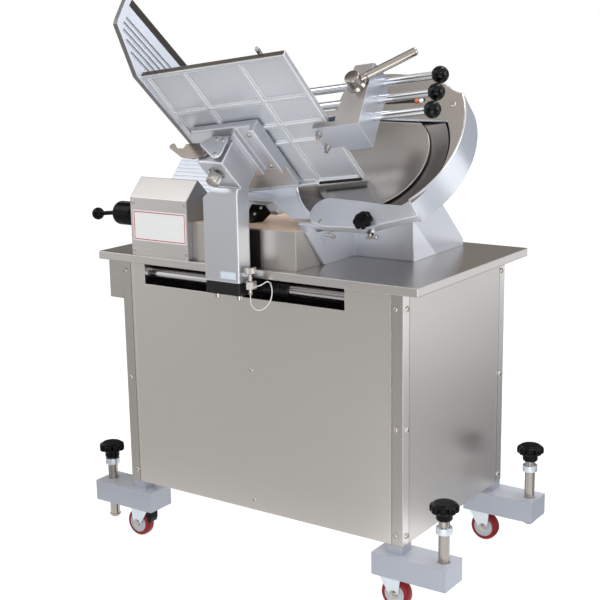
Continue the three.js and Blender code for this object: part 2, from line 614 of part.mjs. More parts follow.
function tray() {
  const { e0, e1, h0, h1, rib, under, top } = TRAY;
  const plate = box(e0, e1, under - 1, top, h0, h1);
  const bars = [
    box(e0, e1, rib, under, h1 - 8, h1), box(e0, e0 + 12, rib, under, h0, h1), box(e1 - 8, e1, rib, under, h0, h1),
    box(e0, 546, rib - 6, under, h0, h0 + 7), box(540, e1, rib, under, h0, h0 + 7),
    box(420, 428, rib, under, h0, h1), box(539, 547, rib, under, h0, h1),
    box(e0, e1, rib, under, 640, 648), box(e0, e1, rib, under, 570, 578), box(500, e1, rib, under, 520, 527),
  ];
  return placed(joined(plate, ...bars), TRAY_AXES);
}

// The wall's outline is in the plane across the tray's edge, with a rebate along its top and shallow flutes
function trayWall() {
  const { e0, e1, lip } = WALL;
  const across = new THREE.Matrix4().makeBasis(OFF, FRONT, EDGE);
  const { h0, h1, top } = TRAY;
  const outline = [
    [top - 3, h0 + 1], [top + 136.5, h0 + 1], [top + 104, h1 + 100], [top + 98, h1 + 104], [top + 38, h1 + 104],
    [top + 27, h1 + 102], [top - 17, h1 + 8],
  ];
  const wall = prism(outline, e0, e1);
  const rebate = [[top + 82, h1 + 91], [top + 115, h0 - 5], [top + 168, h0 - 5], [top + 168, h1 + 91]];
  const cuts = [prism(rebate, e0 + lip, e1 + 1)];
  const ends = [45, 67, 83, 89, 87];
  ends.forEach((end, i) => {
    const w = (at) => top + 10 + 12.5 * i + 0.09 * (h1 - 5 - at);
    const low = h0 - 5;
    const high = h1 + end;
    cuts.push(prism([[w(low), low], [w(low) + 7, low], [w(high) + 7, high], [w(high), high]], e1 - 2.5, e1 + 1));
  });
  return placed(cuts.reduce((a, b) => a.subtract(b), wall), across);
}

// Plate under the tray with a channelled block and a pad that sits on the arm's head
function trayBracket() {
  const flat = new THREE.Matrix4().makeBasis(FRONT, EDGE, OFF);
  const rib = TRAY.rib - GAP;
  const low = HEAD.top + RUN;
  const under = TRAY.rib - 13;
  const h0 = HEAD.h0;
  const h1 = HEAD_H1;
  const sheet = [[h0 - 74, 350], [h1 + 6, 350], [h1 + 20, 362], [h1 + 20, 508], [h0 - 74, 508]];
  const plate = placed(prism(sheet, under, rib), flat);
  const cheeks = [[h0 - 12, 445], [h1 + 4, 445], [h1 + 23, 465], [h1 + 23, 508], [h0 - 12, 508]];
  const block = placed(prism(cheeks, low, under + 1), flat);
  const pad = placed(box(394, 446, low, under + 1, h0 + 4, h1 - 4), TRAY_AXES);
  const channel = placed(box(465.5, 497, low - 1, under - 5, h0 - 16, h1 + 28), TRAY_AXES);
  return joined(plate, block.subtract(channel), pad);
}

// Latch lever on the head's front face
function latchLever() {
  const outline = [
    ...arc(232, 499, 6.5, 60, 250, 8), [262, 477], [296, 473], [322, 480], [330, 492], [328, 506], [316, 511],
    [280, 508], [264, 505], [262, 495], [247, 494],
  ];
  const h0 = HEAD_H1 + GAP;
  const lever = prism(outline, h0 + 2, h0 + 6);
  const hub = rod(7, h0, h0 + 9, 20).translate([318, 496, 0]);
  return placed(joined(lever, hub), BLADE_AXES);
}

// Pusher block clamped on the tray's right edge, with three rods through it

function pusherBlock() {
  const { h0, h1 } = BLOCK;
  const e0 = BLOCK_E0;
  const e1 = BLOCK_E1;
  const w0 = TRAY.rib - BLOCK.jaw;
  const w1 = ROD_W[0] + BLOCK.over;
  const side = [[w0, h0], [w1, h0], [w1 - 15, h1 - 6], [w1 - 18, h1], [w0, h1]];
  const turn = new THREE.Matrix4().makeBasis(OFF, FRONT, EDGE);
  const knee = TRAY.top + 15;
  const slant = placed(prism([[e0 - 5, knee], [e0, knee], [e0 + 15, w1 + 8], [e0 - 5, w1 + 8]], h0 - 1, h1 + 1), TRAY_AXES);
  const body = placed(prism(side, e0, e1), turn).subtract(slant);
  const low = box(TRAY.e1 - 28, e0 + 1, w0, TRAY.rib - RUN, h0 + 12, h1);
  const high = box(TRAY.e1 - 28, e0 + 1, TRAY.top + RUN, TRAY.top + 16, h0 + 12, h1);
  const bores = ROD_W.map((w) => along(rod(ROD_R + RUN, e0 - 57, e1 + 11, 24), EDGE, trayAt(0, w, ROD_H)));
  return joined(body, placed(joined(low, high), TRAY_AXES)).subtract(joined(...bores));
}

function trayAt(e, w, h) {
  return EDGE.clone().multiplyScalar(e).addScaledVector(OFF, w).addScaledVector(FRONT, h).toArray();
}

function skewer(w) {
  const stem = turned([[0, 362], [3, 362], [ROD_R, 372], [ROD_R, BALL_E - 14], [0, BALL_E - 14]], 16);
  return along(joined(stem, ball(BALL_R, 20).translate([0, 0, BALL_E])), EDGE, trayAt(0, w, ROD_H));
}

// Clamp lever: a round boss on the block's front face with a straight handle
const CLAMP = { e: BLOCK_E1 - 24, w: ROD_W[1] - 5, angle: 26.5, len: 128 };

function clampLever() {
  const z = BLOCK.h1 + GAP;
  const boss = turned([[0, z], [19, z], [16, z + 5], [15, z + 7], [15, z + 25], [13.5, z + 27], [0, z + 27]], 32);
  const a = THREE.MathUtils.degToRad(CLAMP.angle);
  const way = new THREE.Vector3(Math.cos(a), Math.sin(a), 0);
  const grip = turned([[0, 4], [8, 4], [8, CLAMP.len - 3], [6, CLAMP.len], [0, CLAMP.len]], 24);
  const handle = along(grip, way, [0, 0, z + 10]);
  return placed(joined(boss, handle).translate([CLAMP.e, CLAMP.w, 0]), TRAY_AXES);
}

// Gear motor and crank that drive the carriage from below

function carriageMotor() {
  const z0 = POST_T + GAP;
  const foot = box(250, 400, 150, 290, z0, z0 + 10);
  const gearbox = box(270, 380, 165, 275, z0 + 9, z0 + 130);
  const motor = along(rod(50, 0, CAB_D - 288), new THREE.Vector3(0, 1, 0), [325, 274, z0 + 70]);
  const stub = rod(12, z0 + 129, z0 + 170, 24).translate([325, 220, 0]);
  return joined(foot, gearbox, motor, stub);
}

function crankDisc() {
  const z0 = POST_T + GAP + 140;
  const disc = turned([[12.5, 0], [70, 0], [70, 10], [22, 10], [22, 24], [12.5, 24], [12.5, 0]], 40);
  const pin = rod(8, 9, 34, 20).translate([-52, 0, 0]);
  return joined(disc, pin).translate([325, 220, z0]);
}

add("slicer_base", slicerBase(), "aluminium");
add("blade_housing", bladeHousing(), "aluminium");
add("blade", blade(), "blade");
add("blade_cover", bladeCover(), "blade");
add("blade_shaft", bladeShaft(), "chrome");
add("blade_motor", bladeMotor(), "dark");
add("drive_belt", driveBelt(), "black");
add("gauge_plate", gaugePlate(), "aluminium");
add("gauge_carrier", gaugeCarrier(), "aluminium");
add("control_housing", controlHousing(), "stainless");
add("control_end_plate", sidePrism(CONTROL_SIDE, CONTROL.x1 + GAP, CONTROL.end), "dark");
add("thickness_knob", thicknessKnob(), "black");
add("blade_guard", bladeGuard(), "aluminium");
add("guard_knob", guardKnob(), "black");
add("slot_cover", slotCover(), "stainless");
add("guide_shaft", along(rod(GUIDE.r, GUIDE.x0 + GAP, GUIDE.x1 - GAP), X, [0, GUIDE.y, GUIDE.z]), "chrome");
add("guide_rail", along(rod(RAIL.r, GUIDE.x0 + GAP, GUIDE.x1 - GAP, 24), X, [0, RAIL.y, RAIL.z]), "chrome");
add("carriage_bush", carriageBush(), "black");
add("carriage_arm", carriageArm(), "aluminium");
add("tray", tray(), "aluminium");
add("tray_bracket", trayBracket(), "aluminium");
add("tray_wall", trayWall(), "aluminium");
add("latch_lever", latchLever(), "stainless");
add("tray_knob", trayKnob(), "chrome");
add("pusher_block", pusherBlock(), "aluminium");
add("clamp_lever", clampLever(), "chrome");
ROD_W.forEach((w, i) => add("skewer_" + (i + 1), skewer(w), "chrome"));
add("lock_pin", lockPin(), "chrome");
add("lanyard", lanyard(), "white");
add("carriage_motor", carriageMotor(), "dark");
add("crank_disc", crankDisc(), "dark");

// Bring the middle of the footprint to the origin, on the floor, measured without the lanyard
const bounds = new THREE.Box3();
for (const mesh of root.children) {
  if (mesh.name !== "lanyard") bounds.expandByObject(mesh);
}
const middle = bounds.getCenter(new THREE.Vector3());
for (const mesh of root.children) mesh.geometry.translate(-middle.x, -middle.y, -bounds.min.z);

export default root;
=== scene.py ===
import bmesh
import bpy
import numpy as np
from mathutils import Matrix, Vector


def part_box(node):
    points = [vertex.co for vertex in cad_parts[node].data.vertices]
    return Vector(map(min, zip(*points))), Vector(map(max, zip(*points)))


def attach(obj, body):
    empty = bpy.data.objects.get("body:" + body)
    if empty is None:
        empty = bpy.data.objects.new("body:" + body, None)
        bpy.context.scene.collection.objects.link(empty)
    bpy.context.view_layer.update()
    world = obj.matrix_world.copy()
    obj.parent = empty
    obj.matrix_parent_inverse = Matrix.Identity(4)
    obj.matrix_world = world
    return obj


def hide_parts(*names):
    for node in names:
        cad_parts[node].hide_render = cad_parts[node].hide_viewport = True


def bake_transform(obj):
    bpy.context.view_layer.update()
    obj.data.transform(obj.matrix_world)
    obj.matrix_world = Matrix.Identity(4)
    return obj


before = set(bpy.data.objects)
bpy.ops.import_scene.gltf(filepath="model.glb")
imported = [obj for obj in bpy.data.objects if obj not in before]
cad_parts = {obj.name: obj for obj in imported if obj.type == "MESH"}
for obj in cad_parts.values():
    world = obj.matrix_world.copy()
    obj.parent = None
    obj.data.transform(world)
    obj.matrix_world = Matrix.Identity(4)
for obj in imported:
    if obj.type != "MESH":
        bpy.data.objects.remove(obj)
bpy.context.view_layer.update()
scene = bpy.context.scene
scene.view_settings.view_transform = "Standard"

# Camera
# It stands to the right of the front, a little above the worktop, with a long lens and a slight roll. All
# places below are in mm from the cabinet's lower front left corner: x to the right, y to the back, z up.
corner = np.array(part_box("cabinet_frame")[0])


def in_metres(points):
    """Points of the machine, in mm from the cabinet's corner, as metres of the shared frame."""
    return corner + np.asarray(points, float) / 1000


camera_data = bpy.data.cameras.new("camera")
camera_data.sensor_width = 36
camera_data.lens = 73.46
camera = bpy.data.objects.new("camera", camera_data)
camera.matrix_world = Matrix.Translation(in_metres((1801.8, -1931.2, 990.8))) @ Matrix((
    (0.824758, -0.109974, 0.554689, 0),
    (0.565242, 0.189103, -0.802958, 0),
    (-0.016589, 0.975780, 0.218126, 0),
    (0, 0, 0, 1),
))
scene.collection.objects.link(camera)
scene.camera = camera

# Studio floor and surroundings
# A white floor without an edge, with the object's soft shadow on it, and white all round for the camera.
# Metal mirrors the same white, and grey boards that stand outside the picture.
world = bpy.data.worlds.new("studio")
scene.world = world
world.use_nodes = True
world.cycles.sampling_method = "NONE"


def seen_directly(tree):
    """One for rays of the camera and for mirrored or transmitted rays, nought for scattered light."""
    path = tree.nodes.new("ShaderNodeLightPath")
    total = path.outputs["Is Camera Ray"]
    for ray in ("Is Glossy Ray", "Is Transmission Ray"):
        add = tree.nodes.new("ShaderNodeMath")
        add.use_clamp = True
        tree.links.new(total, add.inputs[0])
        tree.links.new(path.outputs[ray], add.inputs[1])
        total = add.outputs[0]
    return total


sky = world.node_tree
sky.nodes["Background"].inputs["Color"].default_value = (0.66, 0.67, 0.69, 1)
white_room = sky.nodes.new("ShaderNodeBackground")
white_room.inputs["Color"].default_value = (1, 1, 1, 1)
choice = sky.nodes.new("ShaderNodeMixShader")
sky.links.new(seen_directly(sky), choice.inputs[0])
sky.links.new(sky.nodes["Background"].outputs[0], choice.inputs[1])
sky.links.new(white_room.outputs[0], choice.inputs[2])
sky.links.new(choice.outputs[0], sky.nodes["World Output"].inputs["Surface"])

floor_paint = bpy.data.materials.new("studio_floor")
floor_paint.use_nodes = True
floor_paint.cycles.emission_sampling = "NONE"
tree = floor_paint.node_tree
tree.nodes.remove(tree.nodes["Principled BSDF"])
matt = tree.nodes.new("ShaderNodeBsdfDiffuse")
matt.inputs["Color"].default_value = (0.25, 0.25, 0.25, 1)
glow = tree.nodes.new("ShaderNodeEmission")
glow.inputs["Color"].default_value = (0.9, 0.9, 0.9, 1)
level = tree.nodes.new("ShaderNodeMapRange")
level.inputs["To Min"].default_value = 0.55
tree.links.new(seen_directly(tree), level.inputs["Value"])
tree.links.new(level.outputs["Result"], glow.inputs["Strength"])
both = tree.nodes.new("ShaderNodeAddShader")
tree.links.new(matt.outputs[0], both.inputs[0])
tree.links.new(glow.outputs[0], both.inputs[1])
tree.links.new(both.outputs[0], tree.nodes["Material Output"].inputs["Surface"])
HALF_FLOOR, FLOOR_LEVEL = 9, -0.0004
floor_mesh = bpy.data.meshes.new("studio_floor")
floor_mesh.from_pydata([
    (x * HALF_FLOOR, y * HALF_FLOOR, FLOOR_LEVEL) for x, y in ((-1, -1), (1, -1), (1, 1), (-1, 1))
], [], [(0, 1, 2, 3)])
floor_mesh.materials.append(floor_paint)
floor = bpy.data.objects.new("studio_floor", floor_mesh)
scene.collection.objects.link(floor)


def soft_box(name, place, aim, size, power, tint=(1.0, 1.0, 1.0), cone=None):
    """A lamp with soft light that the camera doesn't see: a square one, or with a cone of degrees a round
    one of that size, which makes no highlights."""
    lamp_data = bpy.data.lights.new(name, "SPOT" if cone else "AREA")
    if cone:
        lamp_data.spot_size = np.radians(cone)
        lamp_data.spot_blend = 1.0
        lamp_data.shadow_soft_size = size / 2
    else:
        lamp_data.size = size
    lamp_data.energy = power
    lamp_data.color = tint
    lamp = bpy.data.objects.new(name, lamp_data)
    at, to = Vector(in_metres(place)), Vector(in_metres(aim))
    lamp.matrix_world = Matrix.Translation(at) @ (to - at).to_track_quat("-Z", "Y").to_matrix().to_4x4()
    lamp.visible_camera = False
    lamp.visible_glossy = not cone
    scene.collection.objects.link(lamp)


COOL = (0.95, 0.97, 1.0)
soft_box("key_lamp", (-1300, -1500, 2500), (350, 100, 500), 1.8, 14)
soft_box("side_lamp", (2700, 500, 1300), (600, 200, 600), 1.3, 18, (0.93, 0.96, 1.0))
soft_box("top_lamp", (500, 900, 2700), (400, 200, 600), 1.2, 40)
soft_box("low_lamp", (1250, -950, 120), (450, 50, 800), 0.8, 5, COOL)
soft_box("tray_lamp", (560, -1150, 480), (450, 60, 770), 0.3, 46, COOL, 22)
soft_box("spark_lamp", (2500, -2300, 2700), (600, 0, 800), 0.16, 6)


def grey_board(name, corners, shade):
    """A grey board outside the picture, that only the shine of the metal shows."""
    paint = bpy.data.materials.new(name)
    paint.use_nodes = True
    nodes = paint.node_tree.nodes
    nodes.remove(nodes["Principled BSDF"])
    even = nodes.new("ShaderNodeEmission")
    even.inputs["Color"].default_value = (*shade, 1)
    paint.node_tree.links.new(even.outputs[0], nodes["Material Output"].inputs["Surface"])
    mesh = bpy.data.meshes.new(name)
    mesh.from_pydata(in_metres(corners).tolist(), [], [(0, 1, 2, 3)])
    mesh.materials.append(paint)
    board = bpy.data.objects.new(name, mesh)
    board.visible_camera = False
    board.visible_diffuse = False
    board.visible_shadow = False
    scene.collection.objects.link(board)


def level_board(name, x0, x1, y0, y1, z, shade):
    """A grey board that lies level."""
    grey_board(name, [(x0, y0, z), (x1, y0, z), (x1, y1, z), (x0, y1, z)], shade)


def upright_board(name, x0, x1, y, z0, z1, shade):
    """A grey board that stands across the view."""
    grey_board(name, [(x0, y, z0), (x1, y, z0), (x1, y, z1), (x0, y, z1)], shade)


def side_board(name, x, y0, y1, z0, z1, shade):
    """A grey board that stands along the object's side."""
    grey_board(name, [(x, y0, z0), (x, y1, z0), (x, y1, z1), (x, y0, z1)], shade)


FLOOR, CEILING = -139, 2200
level_board("board_over_blade", -680, -150, -195, 1200, CEILING, (0.24, 0.225, 0.215))
level_board("board_over_left", -1900, -680, -195, 1200, CEILING, (0.06, 0.056, 0.053))
level_board("board_over_right", -150, 800, -195, 1200, CEILING, (0.52, 0.47, 0.42))
level_board("board_floor_right", 705, 1900, 420, 1700, FLOOR, (0.46, 0.465, 0.48))
grey_board("board_floor_far", [
    (x, y, FLOOR + 0.5) for x, y in ((705, 330), (2100, 3000), (900, 3000), (705, 800))
], (0.22, 0.22, 0.23))
level_board("board_floor_side", 1300, 4000, -2600, 350, FLOOR, (0.5, 0.5, 0.51))
level_board("board_floor_left", -4300, -300, -195, 1500, FLOOR, (0.48, 0.48, 0.49))
level_board("board_floor_front", -3600, 500, -3800, -200, FLOOR, (0.55, 0.54, 0.53))
upright_board("board_back_left", -4200, 150, 2600, FLOOR, 2400, (0.14, 0.12, 0.1))
upright_board("board_back_right", 150, 3200, 2700, 250, 1900, (0.26, 0.27, 0.3))
side_board("board_right", 4000, -2600, 2000, FLOOR, 2600, (0.42, 0.42, 0.43))
side_board("board_left", -4300, -2600, 2000, FLOOR, 2600, (0.42, 0.42, 0.43))
upright_board("board_front_left", -2900, 300, -4200, FLOOR, 2600, (0.1, 0.095, 0.09))


# Lanyard
# A thin wire in a white plastic sleeve that keeps the lock pin with the carriage. It hangs in one loop from
# the tip of the pin, is pressed together in a metal crimp, and goes back to the hexagon that the pin runs in.
def eased_line(points, steps):
    """A smooth line through points: between two points a cubic, whose slopes come from the neighbours'
    distances."""
    p = np.asarray(points, float)
    p = np.concatenate([2 * p[:1] - p[1:2], p, 2 * p[-1:] - p[-2:-1]])
    gap = np.sqrt(np.linalg.norm(np.diff(p, axis=0), axis=1))[:, None]
    a, b, c, d = p[:-3], p[1:-2], p[2:-1], p[3:]
    g0, g1, g2 = gap[:-2], gap[1:-1], gap[2:]
    start = ((b - a) / g0 - (c - a) / (g0 + g1) + (c - b) / g1) * g1
    end = ((c - b) / g1 - (d - b) / (g1 + g2) + (d - c) / g2) * g1
    t = np.linspace(0, 1, steps, endpoint=False)[None, :, None]
    b, c, start, end = b[:, None], c[:, None], start[:, None], end[:, None]
    leave, arrive = 2 * t**3 - 3 * t**2 + 1, 3 * t**2 - 2 * t**3
    line = leave * b + (t**3 - 2 * t**2 + t) * start + arrive * c + (t**3 - t**2) * end
    return np.concatenate([line.reshape(-1, p.shape[1]), p[-2:-1]])


def tone(red, green, blue):
    """A colour as it looks on a screen, in parts of 255, as light."""
    share = np.array([red, green, blue]) / 255
    return tuple(np.where(share > 0.04045, ((share + 0.055) / 1.055) ** 2.4, share / 12.92))


def finish(name, colour, metal=0.0, rough=0.4, grain=0.004, turn=(0.0, 0.0, 0.0), spread=0.08, relief=0.0,
           ease=0.0, cloud=0.35, cloud_size=0.12, sway=0.12, shine=0.5, painted_edge_highlight=None, across=None):
    """A surface whose colour, gloss and relief follow noise.

    A cell of the fine noise is grain metres long, or has one length for each axis, in axes turned by turn.
    A second noise, with cells of cloud_size metres, is mixed in by the share cloud and shifts the colour
    as handling does. The colour varies by spread, the roughness by sway, both as shares. Edges look
    rounded by a radius of ease metres, and the edge colour, if given, is a painted highlight along them.
    Faces that look across a direction have another colour, painted light or shade by the way they face:
    across is (direction, colour)."""
    made = bpy.data.materials.new(name)
    made.use_nodes = True
    nodes, links = made.node_tree.nodes, made.node_tree.links
    shader = nodes["Principled BSDF"]
    shader.inputs["Metallic"].default_value = metal
    shader.inputs["Specular IOR Level"].default_value = shine
    here = nodes.new("ShaderNodeTexCoord")
    axes = nodes.new("ShaderNodeMapping")
    axes.vector_type = "TEXTURE"
    axes.inputs["Rotation"].default_value = turn
    axes.inputs["Scale"].default_value = tuple(np.broadcast_to(grain, 3))
    links.new(here.outputs["Object"], axes.inputs["Vector"])
    fine = nodes.new("ShaderNodeTexNoise")
    fine.inputs["Scale"].default_value = 1.0
    fine.inputs["Detail"].default_value = 3.0
    links.new(axes.outputs["Vector"], fine.inputs["Vector"])
    marks = nodes.new("ShaderNodeTexNoise")
    marks.inputs["Scale"].default_value = 1 / cloud_size
    marks.inputs["Detail"].default_value = 2.0
    links.new(here.outputs["Object"], marks.inputs["Vector"])
    both = nodes.new("ShaderNodeMix")
    both.inputs["Factor"].default_value = cloud
    links.new(fine.outputs["Fac"], both.inputs["A"])
    links.new(marks.outputs["Fac"], both.inputs["B"])
    noise_range = (0.3, 0.7)
    ramp = nodes.new("ShaderNodeValToRGB")
    for stop, place, share in zip(ramp.color_ramp.elements, noise_range, (1 - spread, 1 + spread)):
        stop.position = place
        stop.color = (*np.minimum(np.array(colour) * share, 1), 1)
    links.new(both.outputs["Result"], ramp.inputs["Fac"])
    hue = ramp.outputs["Color"]
    form = nodes.new("ShaderNodeNewGeometry")
    gloss = nodes.new("ShaderNodeMapRange")
    for end, place, share in zip(("Min", "Max"), noise_range, (1 - sway, 1 + sway)):
        gloss.inputs["From " + end].default_value = place
        gloss.inputs["To " + end].default_value = rough * share
    links.new(both.outputs["Result"], gloss.inputs["Value"])
    links.new(gloss.outputs["Result"], shader.inputs["Roughness"])
    last = None
    if ease:
        edge = nodes.new("ShaderNodeBevel")
        edge.samples = 6
        edge.inputs["Radius"].default_value = ease
        last = edge.outputs["Normal"]

    def mixed(one, other, low, high, colour):
        """The colour so far, which turns into another where the cosine of two normals goes from low to
        high."""
        turn_of = nodes.new("ShaderNodeVectorMath")
        turn_of.operation = "DOT_PRODUCT"
        links.new(one, turn_of.inputs[0])
        if isinstance(other, tuple):
            turn_of.inputs[1].default_value = other
        else:
            links.new(other, turn_of.inputs[1])
        size = nodes.new("ShaderNodeMath")
        size.operation = "ABSOLUTE"
        links.new(turn_of.outputs["Value"], size.inputs[0])
        share = nodes.new("ShaderNodeMapRange")
        share.inputs["From Min"].default_value = low
        share.inputs["From Max"].default_value = high
        links.new(size.outputs[0], share.inputs["Value"])
        blend = nodes.new("ShaderNodeMix")
        blend.data_type = "RGBA"
        links.new(share.outputs["Result"], blend.inputs[0])
        links.new(hue, blend.inputs[6])
        blend.inputs[7].default_value = (*colour, 1)
        return blend.outputs[2]

    # across paints light or shade: faces get another colour by the way they look.
    if across:
        hue = mixed(form.outputs["Normal"], tuple(map(float, across[0])), 0.8, 0.5, across[1])
    # The edge colour is a painted highlight where the bevel rounds the normal.
    if painted_edge_highlight:
        hue = mixed(last, form.outputs["Normal"], 0.99, 0.88, painted_edge_highlight)
    links.new(hue, shader.inputs["Base Color"])
    if relief:
        bump = nodes.new("ShaderNodeBump")
        bump.inputs["Strength"].default_value = 0.5
        bump.inputs["Distance"].default_value = relief
        links.new(fine.outputs["Fac"], bump.inputs["Height"])
        if last:
            links.new(last, bump.inputs["Normal"])
        last = bump.outputs["Normal"]
    if last:
        links.new(last, shader.inputs["Normal"])
    return made


def piece(name, parts, material, body, crisp=35.0, flat=False):
    """One object made of grids of points in mm.

    A part is (points [rows, columns, 3], whether the columns close round, whether the first and last row
    are capped). Neighbouring points are joined as four-sided faces, doubles at poles and seams are merged,
    and faces are turned outwards. Edges sharper than crisp degrees stay sharp, and flat keeps large plane
    faces plane. A piece without a body is left unattached."""
    points, faces, count = [], [], 0
    for grid, closed, capped in parts:
        rows, columns = grid.shape[:2]
        number = np.arange(rows * columns).reshape(rows, columns) + count
        here = number if closed else number[:, :-1]
        after = np.roll(number, -1, axis=1) if closed else number[:, 1:]
        faces += np.stack([here[:-1], after[:-1], after[1:], here[1:]], -1).reshape(-1, 4).tolist()
        if capped:
            faces += [number[0].tolist(), number[-1].tolist()]
        points.append(grid.reshape(-1, 3))
        count += rows * columns
    mesh = bpy.data.meshes.new(name)
    mesh.from_pydata(in_metres(np.concatenate(points)).tolist(), [], faces)
    shape = bmesh.new()
    shape.from_mesh(mesh)
    bmesh.ops.remove_doubles(shape, verts=shape.verts, dist=4e-6)
    bmesh.ops.recalc_face_normals(shape, faces=shape.faces)
    shape.to_mesh(mesh)
    shape.free()
    mesh.polygons.foreach_set("use_smooth", np.ones(len(mesh.polygons), bool))
    mesh.set_sharp_from_angle(angle=np.radians(crisp))
    mesh.materials.append(material)
    made = bpy.data.objects.new(name, mesh)
    scene.collection.objects.link(made)
    if flat:
        made.modifiers.new("flat_faces", "WEIGHTED_NORMAL").keep_sharp = True
    if body:
        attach(made, body)
    return made


def turned(profile, foot, axis, steps=64, added=None):
    """A turned surface: the profile (radius, distance along the axis from foot) carried round the axis.

    added(angle, distance) gives what the radius gains at each point, for lobes, flutes and threads."""
    radius, height = np.asarray(profile, float).T[:, :, None]
    angle = np.linspace(0, 2 * np.pi, steps, endpoint=False)[None, :]
    axis = np.asarray(axis, float) / np.linalg.norm(axis)
    side = np.cross(axis, np.eye(3)[np.argmin(np.abs(axis))])
    side = side / np.linalg.norm(side)
    other = np.cross(axis, side)
    if added is not None:
        radius = np.where(radius > 0, radius + added(angle, height), radius)
    ring = np.cos(angle)[..., None] * side + np.sin(angle)[..., None] * other
    return np.asarray(foot, float) + height[..., None] * axis + radius[..., None] * ring, True, False


def tube(path, radius, steps=12):
    """A round tube along a path near one upright plane: each ring is square to the path, and both ends are
    closed."""
    along = np.gradient(path, axis=0)
    side = np.cross(along, (0, 1, 0))
    side = side / np.linalg.norm(side, axis=1, keepdims=True)
    other = np.cross(along, side)
    other = other / np.linalg.norm(other, axis=1, keepdims=True)
    angle = np.linspace(0, 2 * np.pi, steps, endpoint=False)[None, :, None]
    ring = np.cos(angle) * side[:, None] + np.sin(angle) * other[:, None]
    return path[:, None] + radius * ring, True, True


PIN = (379, -43)
loop = eased_line([
    (*PIN, 473.7), (379.6, -44.6, 463), (386, -46, 452), (396, -44, 446), (408, -41, 449), (418, -36, 460),
    (423, -32, 477), (420, -30, 496), (413, -31, 503), (403, -37, 497), (397, -40.5, 494.2),
    (390.6, -42, 493.5),
], 8)
WIRE_RADIUS, BEND_END = 1.1, (396, -43, 486.4)
white_sleeve = finish("white_sleeve", tone(226, 226, 222), rough=0.45, grain=0.002)
lanyard = piece("lanyard_wire", [tube(loop, WIRE_RADIUS)], white_sleeve, None)
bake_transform(lanyard)
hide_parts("lanyard")
bright_steel = finish("bright_steel", tone(182, 177, 172), metal=1, rough=0.18, grain=0.003, spread=0.06)
crimp_line = [(0, -4), (1.7, -4), (2.1, -3.4), (2.1, 3.4), (1.7, 4), (0, 4)]
crimp = piece("lanyard_crimp", [
    turned(crimp_line, (419.3, -30.1, 498), (-0.45, -0.05, 1), 24),
], bright_steel, "carriage")


# Cabinet
# Corner angles and panels of brushed stainless sheet, with the grain across the front. A dark seam runs where
# a panel meets its angle, and button-head screws hold it there.
def dress(material, *nodes):
    """Gives solids of the frame a finish."""
    for node in nodes:
        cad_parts[node].data.materials.clear()
        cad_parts[node].data.materials.append(material)


panel_steel = finish("panel_steel", tone(216, 213, 209), metal=1, rough=0.34, grain=(0.3, 0.3, 0.0008),
                     spread=0.02, sway=0.06, relief=0.000003, ease=0.0008, cloud=0.3, cloud_size=0.35)
# The angles' faces that look sideways are painted paler than their fronts, as light falling on them.
post_steel = finish("post_steel", tone(192, 188, 183), metal=1, rough=0.3, grain=(0.0008, 0.0008, 0.3),
                    spread=0.006, sway=0.02, ease=0.0018, cloud=0.3, cloud_size=0.35,
                    across=((0, 1, 0), tone(230, 228, 226)))
dress(panel_steel, "front_panel", "rear_panel", "left_panel", "right_panel")
dress(post_steel, "cabinet_frame")
screw_steel = finish("screw_steel", tone(196, 191, 185), metal=1, rough=0.2, grain=0.002)


def button_heads(name, places, axis, body, radius=5.8, rise=3.4):
    """Button-head screws: a low dome with a socket in its middle, turned about the axis."""
    socket = [(0, 0.5), (0.4, 0.5), (0.44, 0.97)]
    dome = [(0.6, 1), (0.8, 0.82), (0.94, 0.5), (1, 0.1)]
    head = [*np.array(socket + dome) * (radius, rise), (radius, -0.3), (0, -0.3)]
    return piece(name, [turned(head, at, axis, 24) for at in places], screw_steel, body, 50)


WIDTH, DEPTH = 700, 438
STRIP_FOOT, STRIP_HEAD, SUNK = 0.6, 503.4, 0.4
SEAM, LAP = (24.0, 25.0), (25.0, 31.0)


def strip(x0, x1, y0, y1):
    """A flat strip over the cabinet's whole height, between two places across and two in depth."""
    corners = [(x0, y0), (x1, y0), (x1, y1), (x0, y1)]
    return np.array([[(x, y, z) for x, y in corners] for z in (STRIP_FOOT, STRIP_HEAD)]), True, True


def at_joints(across, proud):
    """Strips at the eight upright joints: across is their reach from the cabinet's corner, proud their
    height over the sheet."""
    a, b = across
    spans_x, spans_y = [(a, b), (WIDTH - b, WIDTH - a)], [(a, b), (DEPTH - b, DEPTH - a)]
    front_strips = [strip(*x, -proud, SUNK) for x in spans_x]
    rear_strips = [strip(*x, DEPTH - SUNK, DEPTH + proud) for x in spans_x]
    left_strips = [strip(-proud, SUNK, *y) for y in spans_y]
    right_strips = [strip(WIDTH - SUNK, WIDTH + proud, *y) for y in spans_y]
    return front_strips + rear_strips + left_strips + right_strips


seam_dark = finish("seam_dark", tone(34, 32, 30), metal=0.1, rough=0.5, grain=(0.003, 0.003, 0.01),
                   spread=0.1)
piece("panel_seams", at_joints(SEAM, 0.12), seam_dark, "stand", flat=True)
piece("panel_laps", at_joints(LAP, 0.1), panel_steel, "stand", flat=True)
front = (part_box("front_panel")[0][1] - corner[1]) * 1000
button_heads("front_screws", [
    (343, front, 305), (344, front, 22), (9, 0, 481), (17.6, 0, 26), (11, 0, 240),
    (684, 0, 473), (684, 0, 237), (684, 0, 20),
], (0, -1, 0), "stand")
button_heads("right_screws", [
    *[(WIDTH, 15, z) for z in (472, 235, 18)], *[(WIDTH, 421, z) for z in (475, 247, 16)],
], (1, 0, 0), "stand")
button_heads("left_screws", [
    *[(0, 15, z) for z in (380, 235, 18)], *[(0, 421, z) for z in (475, 247, 16)],
], (-1, 0, 0), "stand")
button_heads("rear_screws", [
    (x, DEPTH, z) for x in (16, 684) for z in (475, 247, 18)
], (0, 1, 0), "stand")
